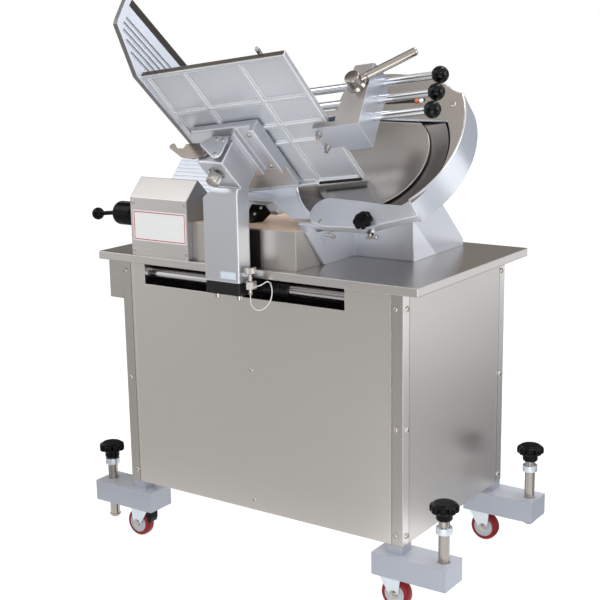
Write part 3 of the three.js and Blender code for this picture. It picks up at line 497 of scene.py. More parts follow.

# Worktop
# A stainless tray turned down at its edges, welded at the corners and ground along its length.
# Its turned-down edges are painted paler than the top, as light falling on them.
worktop_steel = finish("worktop_steel", tone(198, 194, 190), metal=1, rough=0.3, grain=(0.3, 0.0011, 0.0011),
                       spread=0.02, sway=0.05, ease=0.0022, cloud=0.3, cloud_size=0.3,
                       across=((0, 0, 1), tone(214, 211, 208)))
dress(worktop_steel, "worktop")

# Electrical box
# A small box of stainless sheet under the left overhang, with its lid held by a screw.
dress(post_steel, "electrical_box")
button_heads("box_screw", [(-20.4, 2, 462.4)], (0, -1, 0), "stand", 3.4, 2)

# Outriggers
# Four square steel blocks on welded stubs, sprayed with a satin silver paint.
# The blocks' sides are painted darker than their tops, as painted shade.
silver_paint = finish("silver_paint", tone(206, 208, 216), metal=0.35, rough=0.42, grain=0.0012, spread=0.035,
                      relief=0.00002, ease=0.0024, cloud=0.4, cloud_size=0.08,
                      across=((0, 0, 1), tone(174, 178, 188)))
dress(silver_paint, *["outrigger_" + tag for tag in ("fl", "fr", "rl", "rr")])

# Levelling jacks
# Each is a ground steel screw with a lock collar and a rounded foot, under a black moulded star knob. The
# knob has broad lobes with narrow valleys, which run out at its hub.
ground_steel = finish("ground_steel", tone(168, 162, 155), metal=1, rough=0.2, grain=(0.0008, 0.0008, 0.05),
                      spread=0.12, cloud=0.2)
pale_zinc = finish("pale_zinc", tone(214, 221, 228), metal=0.8, rough=0.3, grain=0.002, spread=0.1,
                   cloud_size=0.02, ease=0.0008)
knob_black = finish("knob_black", tone(9, 9, 10), rough=0.18, grain=0.0007, spread=0.3, relief=0.00001,
                    shine=0.12)


def rounded(corners, reach, steps=6):
    """A broken line with its corners eased: each becomes a quadratic curve that leaves both sides reach
    from it."""
    c = np.asarray(corners, float)
    back, ahead = c[:-2] - c[1:-1], c[2:] - c[1:-1]
    long_back = np.linalg.norm(back, axis=1, keepdims=True)
    long_ahead = np.linalg.norm(ahead, axis=1, keepdims=True)
    start = c[1:-1] + back / long_back * np.minimum(reach, 0.48 * long_back)
    end = c[1:-1] + ahead / long_ahead * np.minimum(reach, 0.48 * long_ahead)
    t = np.linspace(0, 1, steps)[None, :, None]
    bend = (1 - t) ** 2 * start[:, None] + 2 * t * (1 - t) * c[1:-1, None] + t**2 * end[:, None]
    return np.concatenate([c[:1], bend.reshape(-1, c.shape[1]), c[-1:]])


def star(lobes, depth, low, high):
    """Lobes between two heights: the radius loses depth in narrow valleys, and nothing outside the
    heights."""
    def added(angle, height):
        valley = (1 - np.abs(np.sin(lobes * angle / 2))) ** 1.6
        inside = np.clip((height - low) / 2, 0, 1) * np.clip((high - height) / 5, 0, 1)
        return -depth * valley * inside
    return added


JACKS = {
    "fl": (-79, 21.2, 31, 1), "fr": (779, 21.2, 67, 13), "rl": (-79, 416.8, 64, 9), "rr": (779, 416.8, 64, 9),
}
foot_end = [(0, 0), (6, 0.8), (10.5, 4), (12.5, 7), (12.5, 10), (10.9, 10.8)]
for tag, (x, y, base, drop) in JACKS.items():
    at, tip, top = (x, y, base), -146, -0.3 - drop
    stem_line = [*[(r, tip + h) for r, h in foot_end], (10.9, top - 13), (10.9, -0.3), (0, -0.3)]
    turned_stem = turned(rounded(stem_line, 0.8), at, (0, 0, 1), 48)
    stem = piece("jack_stem_" + tag, [turned_stem], ground_steel, "jack_" + tag)
    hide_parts("jack_screw_" + tag)
    collar_line = [(10.5, top - 14), (16, top - 14), (16, top), (10.5, top), (10.5, top - 14)]
    turned_collar = turned(rounded(collar_line, 1.2), at, (0, 0, 1), 48)
    collar = piece("jack_collar_" + tag, [turned_collar], pale_zinc, "jack_" + tag)
    knob = piece("jack_star_" + tag, [turned(rounded([
        (0, 0), (14, 0), (16.3, 3), (16.5, 15), (19, 16.3), (27, 17.5), (28.9, 20), (28.9, 29), (26.6, 32.5),
        (23, 33.5), (20, 36.3), (8, 37), (0, 37),
    ], 1.6), at, (0, 0, 1), 160, star(8, 5.2, 15, 34))], knob_black, "jack_" + tag)
    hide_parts("jack_knob_" + tag)

# Casters
# Red polyurethane tyres moulded on grey cores, in pressed zinc-plated forks that trail from their swivels. A
# bolt with a lock nut is the axle, and one front fork carries a black brake pedal.
dress(pale_zinc, *["caster_fork_" + tag for tag in JACKS])
tyre_red = finish("tyre_red", tone(138, 20, 24), rough=0.34, grain=0.003, shine=0.3)
core_grey = finish("core_grey", tone(198, 203, 208), rough=0.42, grain=0.002, spread=0.06)
CASTERS = {"fl": (0.8, 21.2), "fr": (675.2, 21.2), "rl": (0.8, 416.8), "rr": (675.2, 416.8)}
AXLE = -109
tread = [
    (22, -11.4), (23.2, -12), (27, -12), (30.3, -9), (31.4, -4), (31.4, 4), (30.3, 9), (27, 12), (23.2, 12),
    (22, 11.4), (22, -11.4),
]
half = [(4.4, 12), (9, 12), (10.2, 9), (18.6, 8.4), (20, 11), (22.1, 11.2)]
hub_line = half + [(r, -h) for r, h in half[::-1]] + [half[0]]
nut = [
    (0, 5.6), (3.8, 5.6), (4.2, 5), (4.4, 4), (6.2, 4), (6.9, 3.2), (6.9, 0), (9.5, 0), (9.8, -0.3),
    (9.8, -0.6), (0, -0.6),
]
for tag, (x, y) in CASTERS.items():
    turned_tyre = turned(rounded(tread, 1.4), (x, y, AXLE), (0, 1, 0), 72)
    tyre = piece("tyre_" + tag, [turned_tyre], tyre_red, "wheel_" + tag)
    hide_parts("caster_wheel_" + tag)
    turned_core = turned(rounded(hub_line, 0.7), (x, y, AXLE), (0, 1, 0), 60)
    core = piece("wheel_core_" + tag, [turned_core], core_grey, "wheel_" + tag)
    ends = [turned(nut, (x, y + way * 16.1, AXLE), (0, way, 0), 48) for way in (-1, 1)]
    piece("axle_nuts_" + tag, ends, bright_steel, "caster_" + tag)


def slab(outline, levels, lay):
    """A flat piece: the closed outline carried through levels (how far it is drawn in, height), both ends
    closed.

    The outline runs against the clock. A corner moves inwards along the mean of its sides' normals, by the
    amount over the cosine of half the turn there. lay places (across, along, height) in the machine."""
    ring = np.asarray(outline, float)
    side = np.roll(ring, -1, axis=0) - ring
    normal = np.stack([-side[:, 1], side[:, 0]], 1) / np.linalg.norm(side, axis=1, keepdims=True)
    mean = normal + np.roll(normal, 1, axis=0)
    mean = mean / np.maximum((mean * normal).sum(1, keepdims=True), 0.3)
    amount, height = np.asarray(levels, float).T
    flat = ring[None] + amount[:, None, None] * mean[None]
    return lay(flat[..., 0], flat[..., 1], np.broadcast_to(height[:, None], flat.shape[:2])), True, True


def eased_sides(low, high, ease, steps=4):
    """Levels of a slab whose two outer edges are rounded by ease."""
    a = np.linspace(0, np.pi / 2, steps)
    up = np.stack([ease - ease * np.sin(a), low + ease - ease * np.cos(a)], 1)
    down = np.stack([ease - ease * np.cos(a), high - ease + ease * np.sin(a)], 1)
    return np.concatenate([up, down])


def rounded_ring(corners, reach, steps=6):
    """A closed outline with its corners eased."""
    c = np.asarray(corners, float)
    return rounded(np.concatenate([c[-1:], c, c[:1]]), reach, steps)[1:-1]


def facing_front(x, z, out):
    """Lays a flat piece upright, looking to the front."""
    return np.stack([x, -out, z], -1)


pedal_line = rounded_ring([(30, -104), (37, -103), (41, -92), (41, -79), (30, -78)], 3)
pedal = slab(pedal_line, eased_sides(-34, -9, 2), facing_front)
piece("brake_pedal", [pedal], knob_black, "caster_fl", flat=True)

# Slicer base
# A hollow aluminium casting, milled and fine blasted, that carries the blade, its housing and the gauge.
# A painted highlight for the eased edges of the base, the gauge and the guard.
PAINTED_EDGE_HIGHLIGHT = tone(246, 248, 252)
cast_alloy = finish("cast_alloy", tone(216, 219, 226), metal=0.6, rough=0.34, grain=0.0014, spread=0.02,
                    painted_edge_highlight=PAINTED_EDGE_HIGHLIGHT, relief=0.000006, ease=0.0018, cloud=0.4, cloud_size=0.1)
dress(cast_alloy, "slicer_base")


def facing_right(y, z, x):
    """Lays a flat piece upright, looking to the right."""
    return np.stack([x, y, z], -1)


gusset = slab([(66, 591), (97, 563), (122, 591)], [(0, 442), (0, 466.9)], facing_right)
piece("base_gusset", [gusset], cast_alloy, "stand", flat=True)
# A thin wedge on the base's right face, painted paler and less metallic than the casting as a painted
# highlight.
facet_painted_highlight = finish("facet_painted_highlight", tone(238, 241, 247), metal=0.4, rough=0.34, grain=0.0014, spread=0.02)
peak = (605, 205.2, 606)
facet = np.array([[peak] * 3, [(604.5, 205.2, 521.4), (608, 205.2, 521.4), (605, 306, 521.4)]])
piece("base_facet", [(facet, True, True)], facet_painted_highlight, "stand", 5)

# Blade housing
# A turned and milled aluminium pan behind the blade, closed over the blade's upper half. Its rim is brushed
# along, its face is ground, and both meet in an eased edge. The rim's sides are painted paler than the
# face, as a painted highlight.
SLOPE = np.radians(43)
UP = np.array([0, np.sin(SLOPE), np.cos(SLOPE)])
OUT = np.array([0, -np.cos(SLOPE), np.sin(SLOPE)])
ALONG_BLADE = (np.radians(-47), 0, 0)


def on_blade(x, s, h):
    """Places across the blade plane (x, s up the slope) and at the height h in front of it."""
    return np.stack([x, UP[1] * s + OUT[1] * h, UP[2] * s + OUT[2] * h], -1)


def arc(x, s, radius, start, end, steps):
    """Points on an arc between two angles in degrees."""
    a = np.radians(np.linspace(start, end, steps))
    return np.stack([x + radius * np.cos(a), s + radius * np.sin(a)], 1)


PAN, PAN_RADIUS, PAN_BACK, PAN_FLOOR, PAN_FACE = (503, 691), 215, 319, 325, 390
BLADE, WINDOW_RADIUS, WINDOW_RISE, LEAST_WALL = (537, 642), 166, 96, 4.0
low, high = -np.degrees(np.arcsin(145 / PAN_RADIUS)), np.degrees(np.arcsin(119 / PAN_RADIUS))
crown = eased_line([
    (678, 811), (665, 815), (629, 836), (585, 849), (541, 856), (480, 856), (430, 842), (404, 822),
], 8)
left_edge = [(404, 800), (404, 770), (404, 738.4)]
rim = np.concatenate([arc(*PAN, PAN_RADIUS, low, high, 120), crown[4:], left_edge])
slope = np.gradient(rim, axis=0)
inward = np.stack([-slope[:, 1], slope[:, 0]], 1) / np.linalg.norm(slope, axis=1, keepdims=True)
bearing = np.arctan2(rim[:, 1] - BLADE[1], rim[:, 0] - BLADE[0])
rising = np.sin(bearing)
reach = np.where(rising > 0, WINDOW_RISE / np.maximum(rising, 1e-3), WINDOW_RADIUS)
reach = np.minimum(WINDOW_RADIUS, reach)
window = np.array(BLADE) + reach[:, None] * np.stack([np.cos(bearing), np.sin(bearing)], 1)
narrow = ((window - rim) * inward).sum(1) < LEAST_WALL
window = np.where(narrow[:, None], rim + LEAST_WALL * inward, window)


def pan_wall():
    """The housing's rim: at each step of the rim's line one section, from the back edge up the outside,
    round the eased edge, over the face to the chamfered window, and back along the inside."""
    wide = ((window - rim) * inward).sum(1)
    ease = np.minimum(4.0, 0.45 * wide)[:, None]
    a = np.linspace(0, np.pi / 2, 7)[None, :]
    out_in = np.concatenate([np.zeros((len(rim), 1)), ease - ease * np.cos(a)], 1)
    out_h = np.concatenate([np.full((len(rim), 1), float(PAN_BACK)), PAN_FACE - ease + ease * np.sin(a)], 1)
    edge = rim[:, None] + out_in[..., None] * inward[:, None]
    inner = rim + np.minimum(5, 0.9 * wide)[:, None] * inward
    back = (rim - window) / np.linalg.norm(rim - window, axis=1, keepdims=True)
    mouth = (window + 2.2 * back)[:, None]
    rows = np.concatenate([edge, mouth, *[side[:, None] for side in (window, window, inner, inner)]], 1)
    heights = np.concatenate([out_h, np.tile([PAN_FACE, 386.8, 386, 386, PAN_FLOOR], (len(rim), 1))], 1)
    return on_blade(rows[..., 0].T, rows[..., 1].T, heights.T)


wall = pan_wall().transpose(1, 0, 2)
back_ring = np.concatenate([rim, [(404, 546)]])
# The rim's sides are painted much paler than the face, as a painted highlight.
rim_alloy = finish("rim_alloy", tone(174, 169, 163), metal=0.75, rough=0.26, grain=(0.05, 0.05, 0.0009),
                   turn=ALONG_BLADE, spread=0.012, sway=0.04, cloud=0.4, cloud_size=0.14,
                   across=(OUT, tone(228, 232, 240)))
housing = piece("housing_shell", [
    (wall, True, True),
    slab(back_ring, [(0.2, PAN_BACK), (0.2, PAN_FLOOR)], on_blade),
    turned([(30, 320), (30, 347), (12.6, 347), (12.6, 320), (30, 320)], on_blade(*BLADE, 0), OUT, 48),
], rim_alloy, "stand", 28, flat=True)
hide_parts("blade_housing")
button_heads("housing_screw", [on_blade(672, 779, 390)], OUT, "stand", 6, 1.6)

# Sharpener
# A slot in the housing's face, with the edges of two small grinding stones in it. A black sheet on the
# face is painted shade for the slot's inside.
# Painted shade for the inside of slots and mouths.
painted_slot_shade = finish("painted_slot_shade", tone(24, 23, 22), rough=0.6, grain=0.002, spread=0.2, shine=0.2)
stone_orange = finish("stone_orange", tone(214, 106, 58), rough=0.8, grain=0.0006, spread=0.15,
                      relief=0.00005)
stone_white = finish("stone_white", tone(232, 230, 226), rough=0.8, grain=0.0006, relief=0.00005)
gap_line = rounded_ring([(519, 775), (606, 783), (606, 793), (519, 785)], 2)
opening = slab(gap_line, [(0, 389.6), (0.2, 390.3)], on_blade)
piece("sharpener_opening", [opening], painted_slot_shade, "stand", flat=True)
stone = rounded([(0, 0), (4.2, 0), (4.6, 0.6), (4.6, 3.4), (4.2, 4), (0, 4)], 0.3)
for name, x, material in (("stone_coarse", 589, stone_orange), ("stone_fine", 599, stone_white)):
    turned_stone = turned(stone, on_blade(x, 785.5, 389.5), OUT, 40)
    piece(name, [turned_stone], material, "stand")

# Blade and cover
# A hollow-ground steel blade with a bevelled edge, dull from grinding, and a turned cover plate over its
# middle.
blade_steel = finish("blade_steel", tone(140, 136, 133), metal=1, rough=0.36, grain=0.003, spread=0.04,
                     cloud_size=0.05)
cover_steel = finish("cover_steel", tone(188, 185, 183), metal=1, rough=0.24, grain=0.002, spread=0.03,
                     cloud_size=0.08)
hub = on_blade(*BLADE, 0)
disc = piece("blade_disc", [turned(rounded([
    (12.5, 366), (122, 366), (162, 382.8), (162, 384), (158, 383.2), (123.5, 376.6), (119.5, 375.6),
    (115, 371.6), (113, 370), (12.5, 370), (12.5, 366),
], 0.4), hub, OUT, 240)], blade_steel, "cutter", 20)
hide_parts("blade")
cover = piece("cover_plate", [turned(rounded([
    (0, 370.3), (112, 370.3), (119, 379.8), (122.5, 380.2), (122.5, 382.6), (121.7, 383.2), (60, 384.4),
    (0, 384.8),
], 0.6), hub, OUT, 240)], cover_steel, "cutter", 30)
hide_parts("blade_cover")

# Blade drive
# A turned shaft with its pulley, a rubber belt and a grey motor inside the base.
motor_grey = finish("motor_grey", tone(96, 99, 104), metal=0.3, rough=0.5, grain=0.002, spread=0.1,
                    ease=0.002)
belt_rubber = finish("belt_rubber", tone(30, 30, 31), rough=0.7, grain=0.002, spread=0.2, ease=0.0005)
dress(ground_steel, "blade_shaft")
dress(motor_grey, "blade_motor")
dress(belt_rubber, "drive_belt")

# Gauge
# A grooved aluminium plate that sets the slice, on a carrier that slides in the base's post.
# Its eased edges get the painted highlight.
gauge_alloy = finish("gauge_alloy", tone(228, 232, 240), metal=0.5, rough=0.32, painted_edge_highlight=PAINTED_EDGE_HIGHLIGHT,
                     grain=(0.06, 0.0012, 0.0012), turn=ALONG_BLADE, spread=0.03, ease=0.0012)
dress(gauge_alloy, "gauge_plate", "gauge_carrier")
bracket_line = rounded_ring([(296, 470), (316, 470), (337, 511), (332, 518), (296, 518)], 3)
bracket = slab(bracket_line, eased_sides(354, 375.5, 1.2), on_blade)
piece("gauge_stop", [bracket], knob_black, "gauge", flat=True)
button_heads("stop_screws", [on_blade(324, 510, 375.5), on_blade(316, 494, 375.5)], OUT, "gauge", 3.6, 1.8)

# Control housing
# Folded stainless sheet with the grain along it, closed by a dark end plate. Its front holds a plain
# enamelled plate with a raised border, and four button-head screws.
control_steel = finish("control_steel", tone(216, 213, 210), metal=1, rough=0.3, grain=(0.07, 0.0008, 0.0008),
                       spread=0.03, relief=0.000005, ease=0.002, cloud_size=0.2)
end_grey = finish("end_grey", tone(150, 149, 151), metal=0.8, rough=0.42, grain=(0.004, 0.05, 0.004),
                  spread=0.06, ease=0.0012)
dress(control_steel, "control_housing")
dress(end_grey, "control_end_plate")
plate_white = finish("plate_white", tone(240, 240, 238), rough=0.25, spread=0.02)
border_red = finish("border_red", tone(196, 60, 58), rough=0.3, spread=0.06)
PLATE = [(51.5, 553.5), (195.5, 553.5), (195.5, 618.5), (51.5, 618.5)]
plate = slab(rounded_ring(PLATE, 4), eased_sides(14.0, 14.7, 0.3), facing_front)
piece("front_plate", [plate], plate_white, "stand", flat=True)


def frame_strip(corners, reach, width, low, high, lay):
    """A raised border: a narrow section with an eased top carried round a closed outline."""
    top = [(0, high - 0.1), (0.15, high), (width - 0.15, high), (width, high - 0.1)]
    levels = [(0, low), *top, (width, low), (0, low)]
    return slab(rounded_ring(corners, reach), levels, lay)[0], True, False


border = frame_strip([(54, 556), (193, 556), (193, 616), (54, 616)], 3, 1.8, 14.5, 15.0, facing_front)
piece("plate_border", [border], border_red, "stand")
button_heads("control_screws", [
    (52.5, -14, 634), (194, -14, 637), (52, -14, 532), (194, -14, 534),
], (0, -1, 0), "stand", 4.2, 2)

# Thickness knob
# A black moulded grip on the control shaft, with a turned lever that ends in a ball.
grip = [(0, 0), (17, 0), (17, 6), (24, 7), (25.6, 10), (25.6, 52), (23, 58), (16, 61), (0, 61)]
lever = np.array([-61, 0, -7.0])
round_end = [(13.5 * np.sin(a), 62 - 13.5 * np.cos(a)) for a in np.linspace(0.5, np.pi, 24)]
ball_line = [(4.6, 20), (4.6, 46), (6.5, 49), *round_end]
gloss_black = finish("gloss_black", tone(5, 5, 6), rough=0.04, spread=0.3, shine=0.22)
thickness = piece("thickness_grip", [
    turned(rounded(grip, 2.4), (44.7, 14, 604), (-1, 0, 0), 96),
    turned([(0, 0), (4.6, 0), *ball_line], (-15, 14, 604), lever, 48),
], knob_black, "thickness")
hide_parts("thickness_knob")

# Blade guard
# A brushed aluminium bar with a round end over the blade's lower edge. A star knob and a screw hold it, and
# two screws with cross bars clamp it from below.
# Its eased edges get the painted highlight.
guard_alloy = finish("guard_alloy", tone(212, 214, 219), metal=0.65, rough=0.3, painted_edge_highlight=PAINTED_EDGE_HIGHLIGHT,
                     grain=(0.08, 0.0012, 0.0012), turn=ALONG_BLADE, spread=0.02, ease=0.0015)
guard_tip = [(503, 466), (596, 470), (699, 509), (669, 541), (655, 529), (604, 529), (560, 532)]
guard_line = np.concatenate([arc(496, 500, 34, 92, 226, 40), guard_tip])
guard_plate = slab(guard_line, eased_sides(389, 396.5, 1.2), on_blade)
guard = piece("guard_bar", [guard_plate], guard_alloy, "stand", flat=True)
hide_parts("blade_guard")
guard_star = piece("guard_star", [turned(rounded([
    (0, 0), (10, 0), (10, 5), (18, 5.5), (20, 7.5), (20, 13.5), (18, 16), (14, 16.4), (12.5, 18.3), (0, 18.6),
], 1.3), on_blade(595, 481, 396.8), OUT, 160, star(8, 6.0, 4, 17))], knob_black, "guard_screw")
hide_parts("guard_knob")
button_heads("guard_screw_head", [on_blade(495, 477, 396.5)], OUT, "stand", 5, 1.6)
lip_line = [(500, 466.4), (596, 470.4), (698, 509.4), (690, 516), (594, 477), (500, 473)]
lip = slab(lip_line, eased_sides(379, 389.4, 0.8), on_blade)
piece("guard_lip", [lip], guard_alloy, "stand", flat=True)
cross = [(0, -12), (2.6, -12), (2.6, 6), (3.9, 6.6), (3.9, 11.4), (3.2, 12.4), (0, 12.4)]
studs = []
for x, reach, bar, tilt in ((517, -14, 519, -3), (606, -9, 613, 4)):
    neck = [(0, 2), (7.5, 2), (7.5, -1.6), (3, -2), (3, reach), (0, reach)]
    crossbar = turned(cross, on_blade(bar, 469 + reach, 383), on_blade(20, tilt, 0), 24)
    studs += [turned(neck, on_blade(x, 470, 383), UP, 24), crossbar]
piece("guard_screws", studs, bright_steel, "stand")


# Slot cover
# Low boxes of stainless sheet over the carriage's way. A pale warm sheet on their top is a painted
# reflection, and a black sheet behind the arm is painted shade in their mouth.
def facing_up(x, y, z):
    """Lays a flat piece level."""
    return np.stack([x, y, z], -1)


cover_sheet = finish("cover_sheet", tone(205, 200, 194), metal=1, rough=0.36, grain=(0.12, 0.0011, 0.0011),
                     spread=0.015, ease=0.0015, cloud_size=0.2)
dress(cover_sheet, "slot_cover")
# A pale warm sheet on the cover's top is a painted reflection, made pale to lift it out of the tray's shade.
lid_painted_reflection = finish("lid_painted_reflection", tone(240, 210, 180), metal=0.1, rough=0.34, grain=(0.12, 0.0011, 0.0011),
                  spread=0.015, cloud_size=0.2)
LID = [(202, 1), (459, 1), (459, 27), (440, 28), (440, 202), (297, 202), (297, 164), (202, 164)]
lid = slab(LID, [(0, 600), (0, 600.3), (0.3, 600.5)], facing_up)
piece("cover_lid", [lid], lid_painted_reflection, "stand", flat=True)
# A black sheet in front of the cover's slot behind the arm is painted shade for the mouth's inside.
mouth = slab([(262, 521.6), (374, 521.6), (374, 597), (262, 597)], [(0, -3.4), (0, -2.7)], facing_front)
piece("cover_mouth", [mouth], painted_slot_shade, "stand", flat=True)

# Carriage way
# A hard-chromed guide shaft and a thinner rail between the cabinet's ends, with a gear motor and crank below.
chrome = finish("chrome", tone(224, 225, 228), metal=1, rough=0.16, grain=(0.05, 0.002, 0.002), spread=0.03)
shaft_steel = finish("shaft_steel", tone(212, 211, 212), metal=1, rough=0.22, grain=0.05, spread=0.01,
                     sway=0.0)
SHAFT_AT = (0, 32, 476)
shaft_line = [(0, 36.3), (13.2, 36.3), (14, 37.5), (14, 662.5), (13.2, 663.7), (0, 663.7)]
turned_shaft = turned(rounded(shaft_line, 0.5), SHAFT_AT, (1, 0, 0), 96)
shaft = piece("guide_rod", [turned_shaft], shaft_steel, "stand")
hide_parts("guide_shaft")
dress(shaft_steel, "guide_rail")
dress(motor_grey, "carriage_motor", "crank_disc")

# Carriage foot
# A black block on a plain sleeve that runs on the guide shaft, with a second runner behind. Two bolts hold it
# to the arm, and a bright hexagon at its side takes the lock pin.
foot_black = finish("foot_black", tone(22, 22, 23), rough=0.36, grain=0.0012, spread=0.25, relief=0.00001,
                    shine=0.35)
sleeve = [
    (14.6, 268), (17, 268), (17.5, 268.6), (17.5, 402), (16, 403), (16, 406), (17.5, 407), (17.5, 427.4),
    (17, 428), (14.6, 428), (14.6, 268),
]
block_line = rounded_ring([(282, -62), (366, -62), (366, 19), (282, 19)], 4)
runner_line = rounded_ring([(300, 46), (348, 46), (348, 108), (300, 108)], 3)
foot = piece("carriage_foot", [
    slab(block_line, eased_sides(473, 498.7, 1.5), facing_up),
    turned(rounded(sleeve, 0.4), SHAFT_AT, (1, 0, 0), 72),
    slab(runner_line, eased_sides(470, 482, 1.5), facing_up),
    turned([(8.6, 284), (13, 284), (13, 364), (8.6, 364), (8.6, 284)], (0, 118, 476), (1, 0, 0), 48),
    slab([(364, -51), (372, -51), (372, -35), (364, -35)], eased_sides(488, 498, 1), facing_up),
], foot_black, "carriage", flat=True)
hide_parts("carriage_bush")
hexagon = arc(*PIN, 13, 30, 390, 7)[:-1]
hex_top = [(1.2, 487), (0, 488), (0, 502), (1.2, 503), (7.5, 503), (7.5, 487), (1.2, 487)]
hexagon_grid = slab(hexagon, hex_top, facing_up)[0]
piece("pin_hexagon", [(hexagon_grid, True, False)], bright_steel, "carriage", 20)
bolt = [(0, -11), (4.4, -11), (5.6, -10), (5.6, -4), (7.6, -3.6), (7.6, 0), (0, 0), (0, 1.4)]
bolts = [turned(bolt, (x, -43, 472), (0, 0, 1), 24) for x in (297, 351)]
piece("foot_bolts", bolts, bright_steel, "carriage")


# Lock pin
# A turned and knurled plunger that drops through the hexagon.
def knurl(count, depth, low, high):
    """Fine flutes along a grip between two heights."""
    def added(angle, height):
        return -depth * (0.5 - 0.5 * np.cos(count * angle)) * ((height > low) & (height < high))
    return added


plunger = rounded([
    (0, 474), (2.4, 474), (5, 480), (5, 508), (4, 510), (4, 518), (11.4, 518), (12.6, 519.2), (12.6, 530),
    (11.2, 531.5), (0, 531.5),
], 0.5)
lock_pin = piece("lock_plunger", [
    turned(plunger, (*PIN, 0), (0, 0, 1), 120, knurl(40, 0.6, 519.3, 530)),
], bright_steel, "pin")
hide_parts("lock_pin")

# Carriage arm
# A milled aluminium arm, satin all over, with a slanted head that the tray sits on. A small blank label is
# stuck low on its front.
# The arm's eased edges and rounded bend get a painted highlight.
arm_alloy = finish("arm_alloy", tone(204, 206, 211), metal=0.8, rough=0.34, grain=0.0014, spread=0.02,
                   painted_edge_highlight=PAINTED_EDGE_HIGHLIGHT, relief=0.000006, ease=0.005, cloud=0.4, cloud_size=0.1)
dress(arm_alloy, "carriage_arm")
label_pale = finish("label_pale", tone(206, 218, 226), rough=0.4, spread=0.03)
label_line = rounded_ring([(320, 506), (358, 506), (358, 520), (320, 520)], 1)
label = slab(label_line, eased_sides(61.9, 62.25, 0.1, 3), facing_front)
piece("blank_label", [label], label_pale, "carriage", flat=True)

# Tray knob
# A knurled screw under the head that locks the tray.
seat = on_blade(334, 469, 548)
screw_knob = piece("tray_screw_knob", [turned(rounded([
    (0, -24), (12, -24), (13.5, -22.5), (13.5, -5), (12, -3.5), (5, -3.5), (5, 20), (0, 20),
], 0.6), seat, UP, 160, knurl(44, 0.7, -22.4, -5.1))], bright_steel, "tray_screw")
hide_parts("tray_knob")

# Latch
# A pressed steel lever with a hook, on a pin through the head's front, and a rounded plate with three screws
# beside it.
# The pale edge colour is a painted highlight along the lever's edges.
latch_steel = finish("latch_steel", tone(140, 132, 125), metal=1, rough=0.22, grain=(0.03, 0.002, 0.002),
                     spread=0.1, ease=0.0012, painted_edge_highlight=tone(226, 222, 216))
dress(latch_steel, "latch_lever")
plate_line = rounded_ring([(300, 503), (352, 470), (366, 477), (364, 522), (330, 524)], 9)
latch_plate = slab(plate_line, eased_sides(592, 595, 0.6), on_blade)
piece("latch_plate", [latch_plate], arm_alloy, "carriage", flat=True)
button_heads("latch_screws", [
    on_blade(338, 516, 595), on_blade(354, 514, 595), on_blade(352, 480, 595),
], OUT, "carriage", 5, 2.2)

# Tray
# An aluminium plate with cast ribs underneath, a fluted wall at its left edge, and a bracket with a channel
# that sits on the arm's head. All are satin. Their pale edges and ribs are a painted highlight, and the
# wall's flute sides and edges are painted darker as shade.
ROLL = np.radians(10)
ALONG_TRAY = (np.radians(-47), -ROLL, 0)
# Pale ribs and edges, where the bevel rounds them, are a painted highlight.
tray_alloy = finish("tray_alloy", tone(192, 195, 200), metal=0.5, rough=0.32, grain=(0.0016, 0.04, 0.04),
                    turn=ALONG_TRAY, spread=0.06, ease=0.005, cloud=0.3, cloud_size=0.09,
                    painted_edge_highlight=tone(255, 255, 255))
dress(arm_alloy, "tray_bracket")


def on_tray(e, w, h):
    """Places along the tray's edge e, away from it w, and at the height h along the feed."""
    return on_blade(e * np.cos(ROLL) - w * np.sin(ROLL), e * np.sin(ROLL) + w * np.cos(ROLL), h)


EDGE = on_tray(1.0, 0.0, 0.0)
OFF = on_tray(0.0, 1.0, 0.0)
# Faces of the wall that look across the tray's edge, its flute sides and edges, are painted dark as shade.
wall_alloy = finish("wall_alloy", tone(236, 241, 250), metal=0.4, rough=0.3, grain=(0.0016, 0.04, 0.04),
                    turn=ALONG_TRAY, spread=0.02, ease=0.002, cloud=0.4, cloud_size=0.09,
                    across=(EDGE, tone(120, 117, 116)))
dress(tray_alloy, "tray")
dress(wall_alloy, "tray_wall")
# Dark sheets on the fluted wall's top edge and along the tray's top edge are painted shade, with a painted
# highlight on their own edges.
painted_shade_strip = finish("painted_shade_strip", tone(84, 77, 70), metal=0.7, rough=0.28, grain=0.003, ease=0.0008,
                    painted_edge_highlight=tone(170, 166, 160))
rail_line = [(575.4, 842), (607.4, 400), (624.6, 400), (593, 842)]
rail = slab(rail_line, eased_sides(329.2, 333.4, 0.6), lambda w, h, e: on_tray(e, w, h))
rim_line = [(336, 482), (640, 482), (640, 491.4), (336, 491.4)]
rim_strip = slab(rim_line, eased_sides(754.6, 755.6, 0.3), on_tray)
# A black strip behind the tray's lower edge is painted shade in the gap between the tray and the gauge.
gap_shade_line = [(337, 475.5), (640, 475.5), (640, 481.2), (337, 481.2)]
gap_shade = slab(gap_shade_line, eased_sides(396.8, 399, 0.4), on_tray)
piece("tray_gap_shade", [gap_shade], foot_black, "carriage", flat=True)
piece("tray_strips", [rail, rim_strip], painted_shade_strip, "carriage", flat=True)
rod_end = rounded([(0, 640), (4.4, 640), (4.4, 765), (3, 767), (0, 767)], 0.8)
stop_rod = turned(rod_end, on_tray(587.5, 496.3, 0), OUT, 32)
piece("tray_stop_rod", [stop_rod], bright_steel, "carriage")
button_heads("bracket_screws", [on_tray(482, 463, 580), on_tray(482, 463, 484)], -OFF, "carriage", 5.5, 2.6)
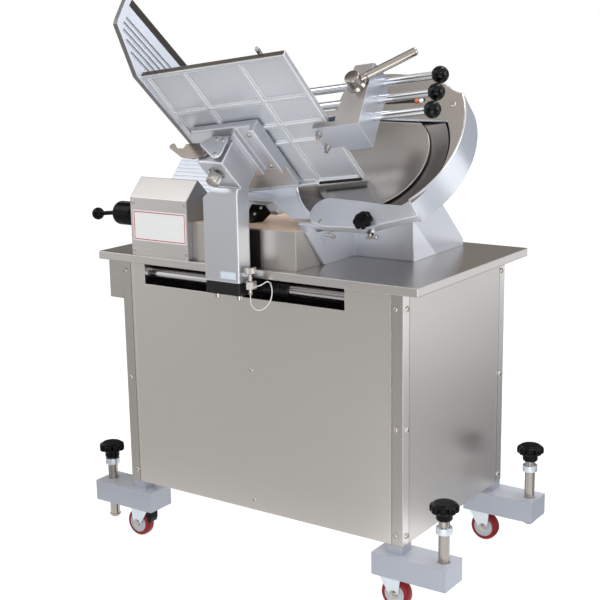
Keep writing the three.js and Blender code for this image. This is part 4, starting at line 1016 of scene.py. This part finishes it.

# Pusher
# A milled aluminium block that clamps on the tray's right edge, with two set screws in its lower jaw.
# Faces that don't look OUT, the right side and the lower jaw, are painted paler as light falling on them, and
# the pale edges are a painted highlight.
pusher_alloy = finish("pusher_alloy", tone(174, 171, 170), metal=0.9, rough=0.34, grain=(0.0014, 0.05, 0.05),
                      spread=0.006, sway=0.02, painted_edge_highlight=tone(240, 241, 244), ease=0.0016,
                      across=(OUT, tone(206, 211, 221)))
dress(pusher_alloy, "pusher_block")
set_screw = [(0, -14), (3.4, -14), (4.2, -13), (4.2, -7), (6, -6.5), (6, -1), (5, 0.5), (0, 0.5)]
set_screws = [turned(set_screw, on_tray(621.5, 468, h), OFF, 24) for h in (557, 517)]
piece("jaw_screws", set_screws, bright_steel, "pusher")

# Skewers
# Three polished steel rods through the block, pointed at the left end, with glossy black balls at the right.
rod_line = rounded([(0, 362), (3, 362), (8, 372), (8, 813), (0, 813)], 1)
around = np.linspace(0.42, np.pi, 30)
ball_line = [(0, 809.5), (7.5, 809.5), *[(16.5 * np.sin(a), 825 - 16.5 * np.cos(a)) for a in around]]
for letter, number, w in (("a", 1, 609), ("b", 2, 567), ("c", 3, 525)):
    foot, body = on_tray(0, w, 521), "skewer_" + letter
    stem = piece("skewer_rod_" + letter, [turned(rod_line, foot, EDGE, 48)], chrome, body)
    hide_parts(f"skewer_{number}")
    ball = piece("skewer_ball_" + letter, [turned(ball_line, foot, EDGE, 64)], gloss_black, body)

# Clamp lever
# A turned boss on the block's front with a straight polished handle.
lever_steel = finish("lever_steel", tone(166, 159, 152), metal=1, rough=0.14, spread=0.05)
boss = [(0, 571.3), (19, 571.3), (16, 576.3), (15, 578.3), (15, 596.3), (13.5, 598.3), (0, 598.3)]
CLAMP, TILT = (685, 562), np.radians(26.5)
way = np.cos(TILT) * EDGE + np.sin(TILT) * OFF
handle = [(0, 4), (7, 4), (7, 24), (8, 26), (8, 124.5), (5.6, 128), (0, 128)]
clamp = piece("clamp_handle", [
    turned(rounded(boss, 1.2), on_tray(*CLAMP, 0), OUT, 72),
    turned(rounded(handle, 1.2), on_tray(*CLAMP, 581.3), way, 48),
], lever_steel, "clamp")
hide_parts("clamp_lever")
